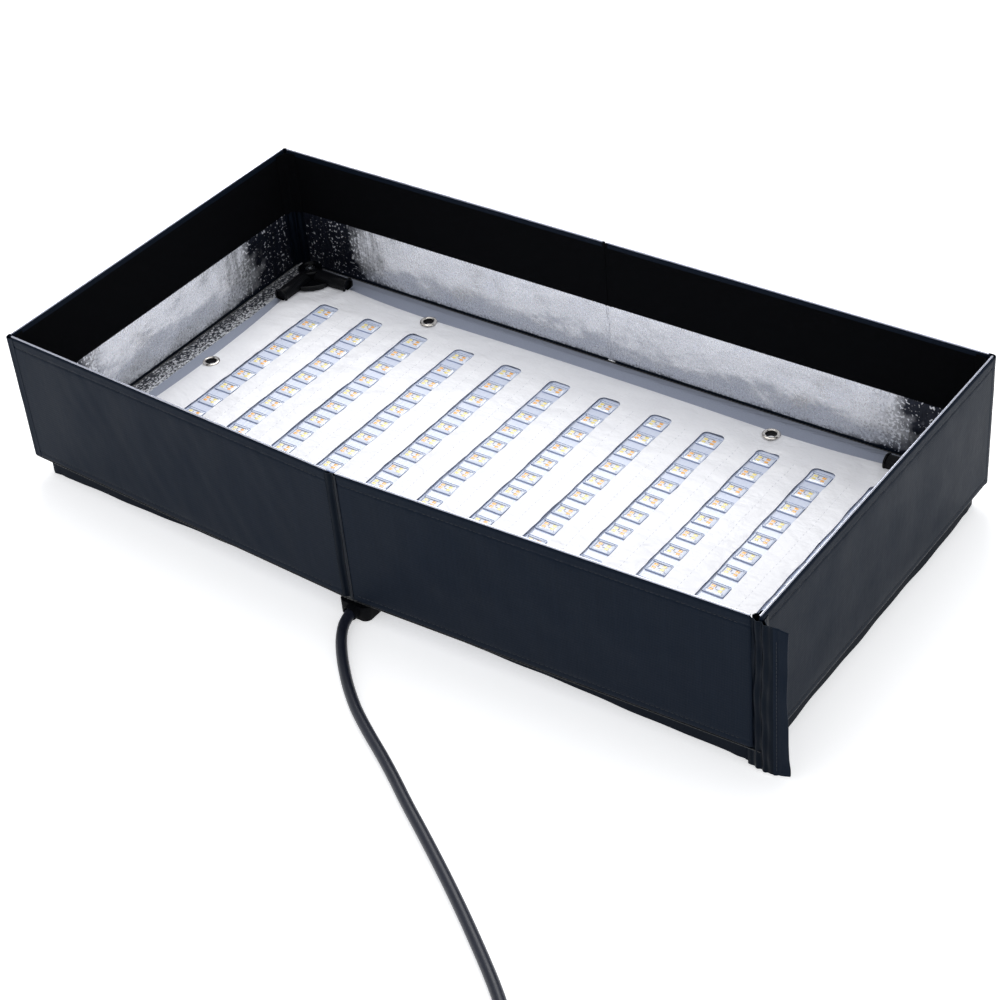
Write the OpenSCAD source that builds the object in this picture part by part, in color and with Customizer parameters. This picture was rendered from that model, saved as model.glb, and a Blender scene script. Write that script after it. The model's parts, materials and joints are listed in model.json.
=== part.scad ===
// Strip softbox with a flexible LED mat inside. The four padded walls form a ring that lifts off
// the base and folds flat. Origin: mouth of the threaded socket under the hub, on the floor.
// +X is the long side, +Y the back, +Z up. Millimetres.

/* [Case] */
// Outer length of the wall ring
case_len = 707; // [650:1:860]
// Outer width of the wall ring
case_wid = 357; // [330:1:440]
// Height of the rim above the floor
case_h = 139; // [100:1:200]
// Thickness that one wall panel takes in the folded stack
wall_t = 4; // [3.4:0.1:5]
// Outward lean of the two front half panels, degrees
bow = 2.4; // [0:0.1:3.5]
// Height of the black loop band below the rim
band_w = 63; // [20:1:70]

/* [Base] */
// Height of the skirt under the floor cloth
skirt_h = 17; // [15:0.5:24]
// Distance of the skirt inside the wall ring
skirt_inset = 6; // [3:0.5:12]
// Thickness of the skirt strips
skirt_t = 2.5; // [1.5:0.1:4]
// Thickness of the silver floor cloth
floor_t = 1.5; // [0.8:0.1:2]
// Clear height between the floor cloth and the wall ring
lift_gap = 1; // [0.5:0.1:2]

/* [LED mat] */
// Distance from the wall ring's outer face to the mat's short edge, at the middle
edge_gap_x = 38.5; // [34:0.5:42]
// Distance from the wall ring's outer face to the mat's long edge, at the eyelets
edge_gap_y = 28.5; // [26:0.5:32]
// Thickness of the mat's backing
backing_t = 1.5; // [1:0.1:3]
// Thickness of the flexible circuit
circuit_t = 0.8; // [0.4:0.1:1.2]
// Thickness of the white cover sheet above the circuit
cover_t = 2; // [1.6:0.1:3]
// Number of LED columns
led_cols = 12; // [8:1:12]
// Number of LEDs in a column
led_rows = 11; // [7:1:11]
// Distance between LED columns
col_pitch = 50.9; // [40:0.1:51]
// Distance between LEDs in a column
row_pitch = 22.5; // [18:0.1:22.5]
// Shift of the LED field towards the right
led_shift = 9; // [0:0.5:9]
// Radius of an eyelet's hole
eyelet_r = 4.7; // [3:0.05:5.8]

/* [Frame] */
// Diameter of a cross rod
rod_d = 6; // [4:0.5:7]
// Radius of the hub
hub_r = 34; // [30:1:44]
// Radius of the threaded socket under the hub
socket_r = 4.76; // [3.1:0.01:5]
// Depth of the threaded socket
socket_depth = 9; // [7:0.5:9]
// Length of a corner holder's arm
arm_len = 45; // [35:1:55]
// Radius of a corner holder's arm
arm_r = 7; // [6:0.5:7.5]

/* [Lead] */
// Diameter of the cable
cord_d = 9; // [7:0.5:9]
// Mean radius of the cable's coil
coil_r = 50; // [45:1:60]

/* [Hidden] */
$fn = 48;

// Clearances shared by every fit
fit = 0.05;
loose = 0.3;
cut = 1;

// Heights of the layers, from the floor up
floor_z = skirt_h;
backing_z = floor_z + floor_t;
circuit_z = backing_z + backing_t;
sheet_z = circuit_z + circuit_t;
mat_top = sheet_z + cover_t;
wall_z = backing_z + lift_gap;
band_z = case_h - band_w;

// Wall panels
face_gap = 0.3;
end_gap = 0.4;
skin_t = 0.8;
inner_x = case_len / 2 - wall_t;
front_len = (inner_x - wall_t * sin(bow)) / cos(bow);
front_lean = front_len * sin(bow);
seam_w = 10;
seam_t = 1.6;
seam_inset = 11;

// Base
base_len = case_len - 2 * skirt_inset;
base_wid = case_wid - 2 * skirt_inset;
base_round = 6;

// Mat outline: the edges are drawn in at the eyelets and flare towards the corners
edge_x = case_len / 2 - edge_gap_x;
edge_y = case_wid / 2 - edge_gap_y;
flare_x = 11;
flare_y = 12;
edge_sag = 2;
mat_hx = edge_x + flare_x;
mat_hy = edge_y + flare_y;
eye_in = 6;
eye_x = 176;
eyes = [for (sx = [-1, 1], sy = [-1, 1]) [sx * eye_x, sy * (edge_y - eye_in + 1)]];
all_eyes = concat(eyes, [for (sx = [-1, 1]) [sx * (edge_x - eye_in), 0]]);
outline_steps = 12;
backing_inset = 2.5;
led_len = (led_cols - 1) * col_pitch;
led_wid = (led_rows - 1) * row_pitch;
circuit_border = 11.5;
slot_w = 21;
slot_end = 11;
slot_round = 5;
lens_l = 19;
lens_w = 13.5;
lens_h = 1.8;
package_l = 12.5;
package_w = 8.5;
package_h = 0.7;

// Eyelets
barrel_r = eyelet_r + 0.7;
eyelet_rim = eyelet_r + 3.1;
rim_t = 1.1;
washer_t = 0.8;
washer_well = eyelet_rim + 1.2;
eyelet_h = mat_top + rim_t - backing_z + washer_t;

// Corners
corner_x = mat_hx - 6;
corner_y = mat_hy - 7.5;
arm_rise = 3.5;
boss_r = 11;
boss_h = 11;
flange_r = 26;
flange_t = 3.5;
tip_ring = 4;
screw_r = 2.5;
screw_head_r = 4.5;
screw_head_h = 2.6;
counterbore = 4;

// Cross frame
rod_r = rod_d / 2;
rod_z = 10;
rod_angle = atan2(corner_y, corner_x);
rod_reach = norm([corner_x, corner_y]);
rod_start = 14;
rod_stop = 8;
tip_r = 12;
tip_z = rod_z - rod_r - 1.5;
cap_top = skirt_h - 0.5;
insert_r = 8;
hub_screw_at = 24;
hub_screw_r = 2;
hub_head_r = 3.5;
hub_head_h = 2.5;
hub_screw_z = 2;

// Junction box
box_l = 84;
box_w = 46;
box_t = 2;
box_y = -125;
lid_t = 2;
lid_z = 2;
box_screw_r = 1.5;
box_head_r = 2.8;
box_screw_in = 6;
ribbon_l = 20;
ribbon_t = 0.6;

// Cable outlet
outlet_x = 1;
outlet_z = 6.5;
gland_r = 6;
gland_in = 4;
outlet_l = 28;
outlet_w = 19;
outlet_h = 13;
outlet_round = 6;
boot_r = 6.6;
boot_l = 4;
boot_tip_r = 6;
boot_flare = 0.7;
skirt_y = base_wid / 2;

// Lead: the route on the floor, then the coil and the tail
cord_r = cord_d / 2;
tie_t = 1;
tie_w = 20;
tie_angle = 200;
tie_span = tie_w / coil_r * 180 / PI;
route = [[1, -184, 6.5], [1, -191, 6.5], [2, -199, 6], [5, -208, 5.5], [11, -218, 5], [18, -227, 4.5],
         [27, -237, 4.5], [37, -247, 4.5], [50, -259, 4.5], [70, -275, 4.5], [93, -290, 4.5],
         [118, -305, 4.5], [140, -319, 4.5], [161, -333, 4.5], [194, -354, 4.5], [232, -379, 4.5],
         [268, -404, 4.5], [306, -432, 4.5], [336, -457, 5]];
coil_at = [335, -525];
enter_angle = 57;
leave_angle = enter_angle - 90;
turn_r = coil_r + cord_r;
tail_l = 70;
plug_z = 10.5;
tail_dir = [sin(leave_angle), -cos(leave_angle)];
route_end = [coil_at.x + turn_r * cos(enter_angle), coil_at.y + turn_r * sin(enter_angle),
             cord_r + tie_t];
tail_start = [coil_at.x + turn_r * cos(leave_angle), coil_at.y + turn_r * sin(leave_angle),
              3 * cord_r + tie_t];
plug_at = [tail_start.x + tail_l * tail_dir.x, tail_start.y + tail_l * tail_dir.y, plug_z];
rings_per_span = 3;
cord_sides = 12;

// Connector
boot_len = 12;
body_len = 26;
nose_len = 18;
shell_r = 8.5;
nose_r = 7.5;
insert_bore = 6;
collar_r = 10.5;
collar_len = 13;
keeper_r = 8.3;
keeper_len = 1.5;
plug_pins = 4;
pin_circle = 3;
pin_r = 0.9;

// ---- shared shapes ----

module rounded_square(size, r) {
    square([size.x - 2 * r, size.y], center = true);
    square([size.x, size.y - 2 * r], center = true);
    for (sx = [-1, 1], sy = [-1, 1])
        translate([sx * (size.x / 2 - r), sy * (size.y / 2 - r)]) circle(r);
}

module at_corners() {
    for (sx = [-1, 1], sy = [-1, 1]) translate([sx * corner_x, sy * corner_y]) children();
}

module at_eyes() {
    for (p = all_eyes) translate(p) children();
}

module led_grid() {
    for (c = [0:led_cols - 1], r = [0:led_rows - 1])
        translate([c * col_pitch - led_len / 2 + led_shift, r * row_pitch - led_wid / 2])
            children();
}

// Half of the mat's width at x, and half of its length at y
function long_edge(x) = edge_y + (abs(x) < eye_x
    ? edge_sag * (1 - pow(x / eye_x, 2))
    : flare_y * pow((abs(x) - eye_x) / (mat_hx - eye_x), 2));
function short_edge(y) = edge_x + flare_x * pow(y / mat_hy, 2);
function steps() = [for (i = [0:outline_steps - 1]) 2 * i / outline_steps - 1];
function outline(inset) = concat(
    [for (s = steps()) [s * (mat_hx - inset), -long_edge(s * mat_hx) + inset]],
    [for (s = steps()) [short_edge(s * mat_hy) - inset, s * (mat_hy - inset)]],
    [for (s = steps()) [-s * (mat_hx - inset), long_edge(s * mat_hx) - inset]],
    [for (s = steps()) [-short_edge(s * mat_hy) + inset, -s * (mat_hy - inset)]]);

// ---- sweep of the lead ----

function spline(p0, p1, p2, p3, t) = 0.5 * (2 * p1 + (p2 - p0) * t
    + (2 * p0 - 5 * p1 + 4 * p2 - p3) * t * t + (3 * p1 - p0 - 3 * p2 + p3) * t * t * t);
function way(p, i, t) = spline(p[max(i - 1, 0)], p[i], p[i + 1], p[min(i + 2, len(p) - 1)], t);
function smooth(p) = concat(
    [for (i = [0:len(p) - 2], k = [0:rings_per_span - 1]) way(p, i, k / rings_per_span)],
    [p[len(p) - 1]]);
function unit(v) = v / norm(v);
function heading(p, i) = unit(p[min(i + 1, len(p) - 1)] - p[max(i - 1, 0)]);
function side(d) = unit(cross([0, 0, 1], d));
function ring(p, i, r) = [for (k = [0:cord_sides - 1]) let (a = 360 * k / cord_sides)
    p[i] + r * (side(heading(p, i)) * cos(a) + cross(heading(p, i), side(heading(p, i))) * sin(a))];

module tube(points, r) {
    p = smooth(points);
    n = len(p);
    m = cord_sides;
    verts = [for (i = [0:n - 1]) each ring(p, i, r)];
    walls = [for (i = [0:n - 2], k = [0:m - 1]) each [
        [i * m + k, (i + 1) * m + k, i * m + (k + 1) % m],
        [i * m + (k + 1) % m, (i + 1) * m + k, (i + 1) * m + (k + 1) % m]]];
    ends = [[for (k = [0:m - 1]) k], [for (k = [m - 1:-1:0]) (n - 1) * m + k]];
    polyhedron(verts, concat(walls, ends));
}

// ---- base ----

module rear_skirt() color("#15161b") {
    for (s = [-1, 1]) translate([s * (base_len - skirt_t) / 2, 0, skirt_h / 2])
        cube([skirt_t, base_wid - 2 * skirt_t, skirt_h], center = true);
    translate([0, (base_wid - skirt_t) / 2, skirt_h / 2])
        cube([base_len, skirt_t, skirt_h], center = true);
    difference() {
        translate([0, -(base_wid - skirt_t) / 2, skirt_h / 2])
            cube([base_len, skirt_t, skirt_h], center = true);
        outlet_hole();
    }
}

module outlet_hole() {
    translate([outlet_x, 0, outlet_z]) rotate([90, 0, 0]) cylinder(h = case_wid, r = gland_r + fit);
}

module floor_cloth() color("#9aa0ac") difference() {
    translate([0, 0, floor_z]) linear_extrude(floor_t) {
        rounded_square([base_len, base_wid], base_round);
        // The front edge follows the two leaning half panels
        polygon([[-base_len / 2 + base_round, -base_wid / 2], [0, -base_wid / 2 - front_lean],
                 [base_len / 2 - base_round, -base_wid / 2], [0, 0]]);
    }
    translate([0, 0, floor_z - cut]) {
        at_eyes() cylinder(h = floor_t + 2 * cut, r = washer_well);
        at_corners() cylinder(h = floor_t + 2 * cut, r = screw_r + loose);
    }
    ribbon_slot();
}

module ribbon_slot() {
    translate([0, box_y, backing_z])
        cube([ribbon_l + 2 * loose, ribbon_t + 2 * loose, 4 * floor_t], center = true);
}

// ---- LED mat ----

module mat_backing() color("#202127") difference() {
    translate([0, 0, backing_z]) linear_extrude(backing_t) polygon(outline(backing_inset));
    translate([0, 0, backing_z - cut]) {
        at_eyes() cylinder(h = backing_t + 2 * cut, r = barrel_r + fit);
        at_corners() cylinder(h = backing_t + 2 * cut, r = screw_r + loose);
    }
    ribbon_slot();
}

module circuit_area(grow) {
    translate([led_shift, 0])
        square([led_len + 2 * (circuit_border + grow), led_wid + 2 * (circuit_border + grow)], center = true);
}

module led_circuit() color("#dfe3ea") translate([0, 0, circuit_z]) linear_extrude(circuit_t) circuit_area(0);

module led_packages() color("#f2b64a") translate([0, 0, sheet_z]) linear_extrude(package_h)
    led_grid() square([package_l, package_w], center = true);

module led_lenses() color("#cfdcf2") {
    translate([0, 0, sheet_z]) linear_extrude(package_h + fit) led_grid() difference() {
        square([lens_l, lens_w], center = true);
        square([package_l + 2 * fit, package_w + 2 * fit], center = true);
    }
    translate([0, 0, sheet_z + package_h + fit]) linear_extrude(lens_h - package_h - fit)
        led_grid() square([lens_l, lens_w], center = true);
}

module mat_cover() color("#f4f4f6") difference() {
    translate([0, 0, circuit_z]) linear_extrude(circuit_t + cover_t) polygon(outline(0));
    translate([0, 0, circuit_z - cut]) linear_extrude(circuit_t + cut) circuit_area(loose);
    translate([0, 0, circuit_z - cut]) {
        linear_extrude(circuit_t + cover_t + 2 * cut)
            for (c = [0:led_cols - 1]) translate([c * col_pitch - led_len / 2 + led_shift, 0])
                rounded_square([slot_w, led_wid + 2 * slot_end], slot_round);
        at_eyes() cylinder(h = circuit_t + cover_t + 2 * cut, r = barrel_r + fit);
        at_corners() cylinder(h = circuit_t + cover_t + 2 * cut, r = screw_r + loose);
    }
}

module eyelets() color("#c9c4ba") at_eyes() difference() {
    union() {
        translate([0, 0, backing_z - washer_t]) cylinder(h = eyelet_h, r = barrel_r);
        translate([0, 0, mat_top]) cylinder(h = rim_t, r = eyelet_rim);
    }
    translate([0, 0, backing_z - washer_t - cut]) cylinder(h = eyelet_h + 2 * cut, r = eyelet_r);
}

module eyelet_washers() color("#b5b0a6") translate([0, 0, backing_z - washer_t]) at_eyes() difference() {
    cylinder(h = washer_t, r = eyelet_rim);
    translate([0, 0, -cut]) cylinder(h = washer_t + 2 * cut, r = barrel_r + fit);
}

module power_ribbon() color("#3b3d45") translate([0, box_y, (cap_top + circuit_z) / 2])
    cube([ribbon_l, ribbon_t, circuit_z - cap_top], center = true);

// ---- corners and cross frame ----

// A corner holder has its boss at the origin and its arms along -X and -Y
module corner_holder() color("#1b1c22") difference() {
    union() {
        intersection() {
            union() for (a = [180, 270]) rotate(a) translate([0, 0, arm_rise]) rotate([0, 90, 0]) {
                cylinder(h = arm_len, r = arm_r);
                translate([0, 0, arm_len - tip_ring]) cylinder(h = tip_ring, r = arm_r + 0.6);
            }
            translate([-arm_len, -arm_len, 0]) cube([2 * arm_len, 2 * arm_len, 2 * arm_len]);
        }
        cylinder(h = boss_h, r = boss_r);
        intersection() {
            cylinder(h = flange_t, r = flange_r);
            translate([-flange_r, -flange_r, 0]) cube([flange_r, flange_r, flange_t]);
        }
    }
    translate([0, 0, -cut]) cylinder(h = boss_h + 2 * cut, r = screw_r + loose);
    translate([0, 0, boss_h - counterbore]) cylinder(h = counterbore + cut, r = screw_head_r + loose);
}

module placed_holder(sx, sy) {
    translate([sx * corner_x, sy * corner_y, mat_top]) mirror([sx < 0 ? 1 : 0, 0, 0])
        mirror([0, sy < 0 ? 1 : 0, 0]) corner_holder();
}

module corner_holder_fl() placed_holder(-1, -1);
module corner_holder_fr() placed_holder(1, -1);
module corner_holder_bl() placed_holder(-1, 1);
module corner_holder_br() placed_holder(1, 1);

module corner_screws() color("#8d9098") {
    seat = mat_top + boss_h - counterbore;
    at_corners() translate([0, 0, tip_z + 2]) cylinder(h = seat - tip_z - 2, r = screw_r);
    at_corners() translate([0, 0, seat]) difference() {
        cylinder(h = screw_head_h, r = screw_head_r);
        translate([0, 0, screw_head_h - 1.2]) cylinder(h = 2, r = 1.8, $fn = 6);
    }
}

module cross_rod(angle, r) {
    rotate(angle) translate([rod_start, 0, rod_z]) rotate([0, 90, 0])
        cylinder(h = rod_reach - rod_start - rod_stop, r = r);
}

module all_rods(r) {
    for (a = [rod_angle, 180 - rod_angle, 180 + rod_angle, -rod_angle]) cross_rod(a, r);
}

module cross_rod_fl() color("#23252b") cross_rod(180 + rod_angle, rod_r);
module cross_rod_fr() color("#23252b") cross_rod(-rod_angle, rod_r);
module cross_rod_bl() color("#23252b") cross_rod(180 - rod_angle, rod_r);
module cross_rod_br() color("#23252b") cross_rod(rod_angle, rod_r);

module rod_tips() color("#2a2c33") difference() {
    at_corners() translate([0, 0, tip_z]) cylinder(h = skirt_h - tip_z, r = tip_r);
    all_rods(rod_r + fit);
    at_corners() translate([0, 0, tip_z + 2]) cylinder(h = skirt_h, r = screw_r + fit);
}

module hub_screw_spots() {
    for (a = [0:90:270]) rotate(a) translate([hub_screw_at, 0, 0]) children();
}

module cross_hub() color("#1d1f25") difference() {
    cylinder(h = rod_z, r = hub_r);
    translate([0, 0, -cut]) cylinder(h = socket_depth + cut, r = insert_r + fit);
    all_rods(rod_r + fit);
    hub_screw_spots() translate([0, 0, hub_screw_z]) cylinder(h = rod_z, r = hub_screw_r + fit);
}

module hub_cover() color("#1d1f25") difference() {
    translate([0, 0, rod_z]) cylinder(h = cap_top - rod_z, r = hub_r);
    all_rods(rod_r + fit);
    hub_screw_spots() {
        translate([0, 0, rod_z - cut]) cylinder(h = cap_top, r = hub_screw_r + fit);
        translate([0, 0, cap_top - hub_head_h]) cylinder(h = hub_head_h + cut, r = hub_head_r + loose);
    }
}

module hub_insert() color("#b8923c") difference() {
    cylinder(h = socket_depth, r = insert_r);
    translate([0, 0, -cut]) cylinder(h = socket_depth + 2 * cut, r = socket_r);
}

module hub_screws() color("#8d9098") hub_screw_spots() {
    translate([0, 0, hub_screw_z]) cylinder(h = cap_top - hub_head_h - hub_screw_z, r = hub_screw_r);
    translate([0, 0, cap_top - hub_head_h]) cylinder(h = hub_head_h, r = hub_head_r);
}

// ---- junction box and outlet ----

module at_box_screws() {
    for (sx = [-1, 1], sy = [-1, 1])
        translate([sx * (box_l / 2 - box_screw_in), box_y + sy * (box_w / 2 - box_screw_in)]) children();
}

module junction_box() color("#1b1c20") difference() {
    union() {
        difference() {
            translate([0, box_y, lid_z + lid_t]) linear_extrude(cap_top - lid_z - lid_t)
                rounded_square([box_l, box_w], 4);
            translate([0, box_y, lid_z]) linear_extrude(cap_top - lid_z - box_t)
                rounded_square([box_l - 2 * box_t, box_w - 2 * box_t], 2.5);
        }
        at_box_screws() translate([0, 0, lid_z + lid_t])
            cylinder(h = cap_top - lid_z - lid_t - box_t / 2, r = box_screw_in - box_t / 2);
    }
    at_box_screws() cylinder(h = cap_top - lid_t - 1, r = box_screw_r + fit);
    outlet_hole();
}

module junction_lid() color("#24262b") difference() {
    translate([0, box_y, lid_z]) linear_extrude(lid_t) rounded_square([box_l, box_w], 4);
    at_box_screws() cylinder(h = 2 * lid_z + lid_t, r = box_screw_r + loose);
    outlet_hole();
}

module junction_screws() color("#8d9098") at_box_screws() {
    translate([0, 0, lid_z]) cylinder(h = cap_top - lid_z - lid_t - 2, r = box_screw_r);
    translate([0, 0, lid_z - 1.5]) cylinder(h = 1.5, r = box_head_r);
}

module cable_gland() color("#0f1013") difference() {
    union() {
        translate([outlet_x, box_y - box_w / 2 + box_t + gland_in, outlet_z]) rotate([90, 0, 0])
            cylinder(h = skirt_y + box_y - box_w / 2 + box_t + gland_in + cut, r = gland_r);
        translate([outlet_x, -skirt_y - outlet_w / 2, 0]) linear_extrude(outlet_h)
            rounded_square([outlet_l, outlet_w], outlet_round);
        translate([outlet_x, -skirt_y - outlet_w / 2, 0]) linear_extrude(outlet_h)
            translate([-outlet_l / 2, 0]) square([outlet_l, outlet_w / 2]);
        translate([outlet_x, -skirt_y - outlet_w, outlet_z]) rotate([90, 0, 0])
            cylinder(h = boot_l, r1 = boot_r, r2 = boot_tip_r);
    }
    translate([outlet_x, route[0].y, outlet_z]) rotate([90, 0, 0]) cylinder(h = case_wid, r = cord_r + loose);
    translate([outlet_x, -skirt_y - outlet_w, outlet_z]) rotate([90, 0, 0])
        cylinder(h = boot_l + cut, r1 = cord_r + loose, r2 = cord_r + loose + boot_flare);
}

// ---- lead ----

module cord_run() color("#1a1e28") tube(concat(route, [route_end]), cord_r);

module cord_coil() color("#1a1e28") translate([coil_at.x, coil_at.y, tie_t])
    rotate_extrude($fn = 96) translate([coil_r, cord_d]) rounded_square([2 * cord_d, 2 * cord_d], cord_r);

module cord_tail() color("#1a1e28")
    tube([tail_start, tail_start + [tail_dir.x, tail_dir.y, -0.02] * tail_l / 3,
          [plug_at.x, plug_at.y, plug_z] - [tail_dir.x, tail_dir.y, 0] * tail_l / 3, plug_at], cord_r);

module cable_tie() color("#101114")
    translate([coil_at.x, coil_at.y]) rotate(tie_angle - tie_span / 2)
        rotate_extrude(angle = tie_span, $fn = 96)
        translate([coil_r, cord_d + tie_t]) difference() {
            square(2 * cord_d + 2 * tie_t, center = true);
            square([2 * cord_d + 2 * loose, 2 * cord_d], center = true);
        }

module plug_place() {
    translate(plug_at) rotate([0, 90, atan2(tail_dir.y, tail_dir.x)]) children();
}

module connector_shell() color("#a9abb0") plug_place() difference() {
    union() {
        cylinder(h = boot_len, r1 = 6, r2 = 7);
        translate([0, 0, boot_len]) cylinder(h = body_len, r = shell_r);
        translate([0, 0, boot_len + body_len]) cylinder(h = nose_len, r = nose_r);
        translate([0, 0, boot_len + body_len + nose_len - keeper_len]) cylinder(h = keeper_len, r = keeper_r);
    }
    translate([0, 0, boot_len + body_len]) cylinder(h = nose_len + cut, r = insert_bore);
}

module connector_insert() color("#2a2b2f") plug_place() difference() {
    translate([0, 0, boot_len + body_len]) cylinder(h = nose_len - 4, r = insert_bore - fit);
    for (k = [1:plug_pins]) rotate(90 * k) translate([pin_circle, 0, boot_len + body_len + 3])
        cylinder(h = nose_len, r = pin_r);
}

module connector_collar() color("#8f9298") plug_place() difference() {
    translate([0, 0, boot_len + body_len + 1]) cylinder(h = collar_len, r = collar_r);
    translate([0, 0, boot_len + body_len]) cylinder(h = collar_len + 2 * cut, r = nose_r + fit);
}

// ---- wall panels ----

// A panel lies along +X from its own end. Its outer face is at y = out, its inner side towards +Y.
module slab(length, end, y0, y1, z0, z1) {
    translate([end, y0, z0]) cube([length - 2 * end, y1 - y0, z1 - z0]);
}

module board(length, end, out) color("#6f6a60")
    slab(length, end, out + skin_t, wall_t - face_gap - skin_t, wall_z + skin_t, case_h - skin_t);

module cover(length, end, out) color("#16181f") {
    slab(length, end, out, out + skin_t, wall_z, case_h);
    slab(length, end, out, wall_t - face_gap, case_h - skin_t, case_h);
    slab(length, end, out, wall_t - face_gap, wall_z, wall_z + skin_t);
}

module lining(length, end) color("#c4c8d0")
    slab(length, end, wall_t - face_gap - skin_t, wall_t - face_gap, wall_z + skin_t, band_z);

module band(length, end) color("#0c0d10")
    slab(length, end, wall_t - face_gap - skin_t, wall_t - face_gap, band_z, case_h - skin_t);

module at_left_end() translate([-case_len / 2, case_wid / 2, 0]) rotate(-90) children();
module at_right_end() translate([case_len / 2, -case_wid / 2, 0]) rotate(90) children();
module at_back_left() translate([0, case_wid / 2, 0]) rotate(180) children();
module at_back_right() translate([inner_x, case_wid / 2, 0]) rotate(180) children();
module at_front_left() translate([-inner_x, -case_wid / 2, 0]) rotate(-bow) children();
module at_front_right() mirror([1, 0, 0]) at_front_left() children();

module left_end_board() at_left_end() board(case_wid, 0, 0);
module left_end_cover() at_left_end() cover(case_wid, 0, 0);
module left_end_lining() at_left_end() lining(case_wid, 0);
module left_end_band() at_left_end() band(case_wid, 0);

module right_end_board() at_right_end() board(case_wid, 0, 0);
module right_end_cover() {
    at_right_end() cover(case_wid, 0, 0);
    // Bound seam that stands out from the corner where the ring is closed
    color("#16181f") at_right_end() translate([-seam_w, 0, wall_z + seam_inset])
        cube([seam_w, seam_t, case_h - wall_z - 2 * seam_inset]);
}
module right_end_lining() at_right_end() lining(case_wid, 0);
module right_end_band() at_right_end() band(case_wid, 0);

module back_left_board() at_back_left() board(inner_x, end_gap, face_gap);
module back_left_cover() at_back_left() cover(inner_x, end_gap, face_gap);
module back_left_lining() at_back_left() lining(inner_x, end_gap);
module back_left_band() at_back_left() band(inner_x, end_gap);

module back_right_board() at_back_right() board(inner_x, end_gap, face_gap);
module back_right_cover() at_back_right() cover(inner_x, end_gap, face_gap);
module back_right_lining() at_back_right() lining(inner_x, end_gap);
module back_right_band() at_back_right() band(inner_x, end_gap);

module front_left_board() at_front_left() board(front_len, end_gap, face_gap);
module front_left_cover() at_front_left() cover(front_len, end_gap, face_gap);
module front_left_lining() at_front_left() lining(front_len, end_gap);
module front_left_band() at_front_left() band(front_len, end_gap);

module front_right_board() at_front_right() board(front_len, end_gap, face_gap);
module front_right_cover() at_front_right() cover(front_len, end_gap, face_gap);
module front_right_lining() at_front_right() lining(front_len, end_gap);
module front_right_band() at_front_right() band(front_len, end_gap);

rear_skirt();
floor_cloth();
mat_backing();
led_circuit();
led_packages();
led_lenses();
mat_cover();
eyelets();
eyelet_washers();
power_ribbon();
corner_holder_fl();
corner_holder_fr();
corner_holder_bl();
corner_holder_br();
corner_screws();
cross_rod_fl();
cross_rod_fr();
cross_rod_bl();
cross_rod_br();
rod_tips();
cross_hub();
hub_cover();
hub_insert();
hub_screws();
junction_box();
junction_lid();
junction_screws();
cable_gland();
cord_run();
cord_coil();
cord_tail();
cable_tie();
connector_shell();
connector_insert();
connector_collar();
left_end_board();
left_end_cover();
left_end_lining();
left_end_band();
right_end_board();
right_end_cover();
right_end_lining();
right_end_band();
back_left_board();
back_left_cover();
back_left_lining();
back_left_band();
back_right_board();
back_right_cover();
back_right_lining();
back_right_band();
front_left_board();
front_left_cover();
front_left_lining();
front_left_band();
front_right_board();
front_right_cover();
front_right_lining();
front_right_band();
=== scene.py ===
import json
import math

import bpy
import numpy as np
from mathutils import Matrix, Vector


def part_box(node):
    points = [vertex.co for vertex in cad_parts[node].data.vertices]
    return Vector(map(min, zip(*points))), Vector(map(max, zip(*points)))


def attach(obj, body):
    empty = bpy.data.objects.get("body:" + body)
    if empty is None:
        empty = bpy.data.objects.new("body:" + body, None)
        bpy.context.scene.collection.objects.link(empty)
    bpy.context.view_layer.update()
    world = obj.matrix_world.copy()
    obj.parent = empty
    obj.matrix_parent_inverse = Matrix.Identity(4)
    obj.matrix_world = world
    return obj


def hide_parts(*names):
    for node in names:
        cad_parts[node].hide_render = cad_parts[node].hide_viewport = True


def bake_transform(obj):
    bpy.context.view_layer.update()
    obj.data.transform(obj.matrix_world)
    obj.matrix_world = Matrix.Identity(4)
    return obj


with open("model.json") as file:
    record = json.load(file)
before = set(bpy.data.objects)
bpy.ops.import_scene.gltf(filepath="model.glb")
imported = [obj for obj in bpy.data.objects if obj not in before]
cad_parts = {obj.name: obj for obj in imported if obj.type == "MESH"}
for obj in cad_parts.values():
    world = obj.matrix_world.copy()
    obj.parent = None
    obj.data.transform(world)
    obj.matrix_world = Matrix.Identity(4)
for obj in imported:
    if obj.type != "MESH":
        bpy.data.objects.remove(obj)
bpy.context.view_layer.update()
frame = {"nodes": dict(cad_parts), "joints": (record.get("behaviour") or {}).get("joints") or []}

MM = 0.001

# ---------------------------------------------------------------- places taken from the frame

end_low, end_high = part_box("left_end_cover")
WALL_Z = end_low.z
RIM_Z = end_high.z
OUT_X = -end_low.x
OUT_Y = end_high.y
WALL_T = 4 * MM
IN_X = OUT_X - WALL_T
IN_Y = OUT_Y - WALL_T
BAND_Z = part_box("left_end_band")[0].z
FLOOR_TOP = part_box("floor_cloth")[1].z
FLOOR_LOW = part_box("floor_cloth")[0].z
MAT_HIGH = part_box("mat_cover")[1]
MAT_TOP = MAT_HIGH.z
CIRCUIT_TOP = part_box("led_circuit")[1].z
JOINTS = {j["name"]: j for j in frame["joints"]}
FRONT_CREASE = Vector(JOINTS["front_crease"]["pos_m"])
BOW = math.radians(2.4)
FRONT_LEN = (IN_X - WALL_T * math.sin(BOW)) / math.cos(BOW)


# ---------------------------------------------------------------- small helpers

def deselect():
    bpy.ops.object.select_all(action="DESELECT")


def pick(piece):
    deselect()
    piece.select_set(True)
    bpy.context.view_layer.objects.active = piece


def settle(piece):
    """Puts the piece's place into its mesh, so that its object is at the origin."""
    pick(piece)
    bpy.ops.object.transform_apply(location=True, rotation=True, scale=True)
    return piece


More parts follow.
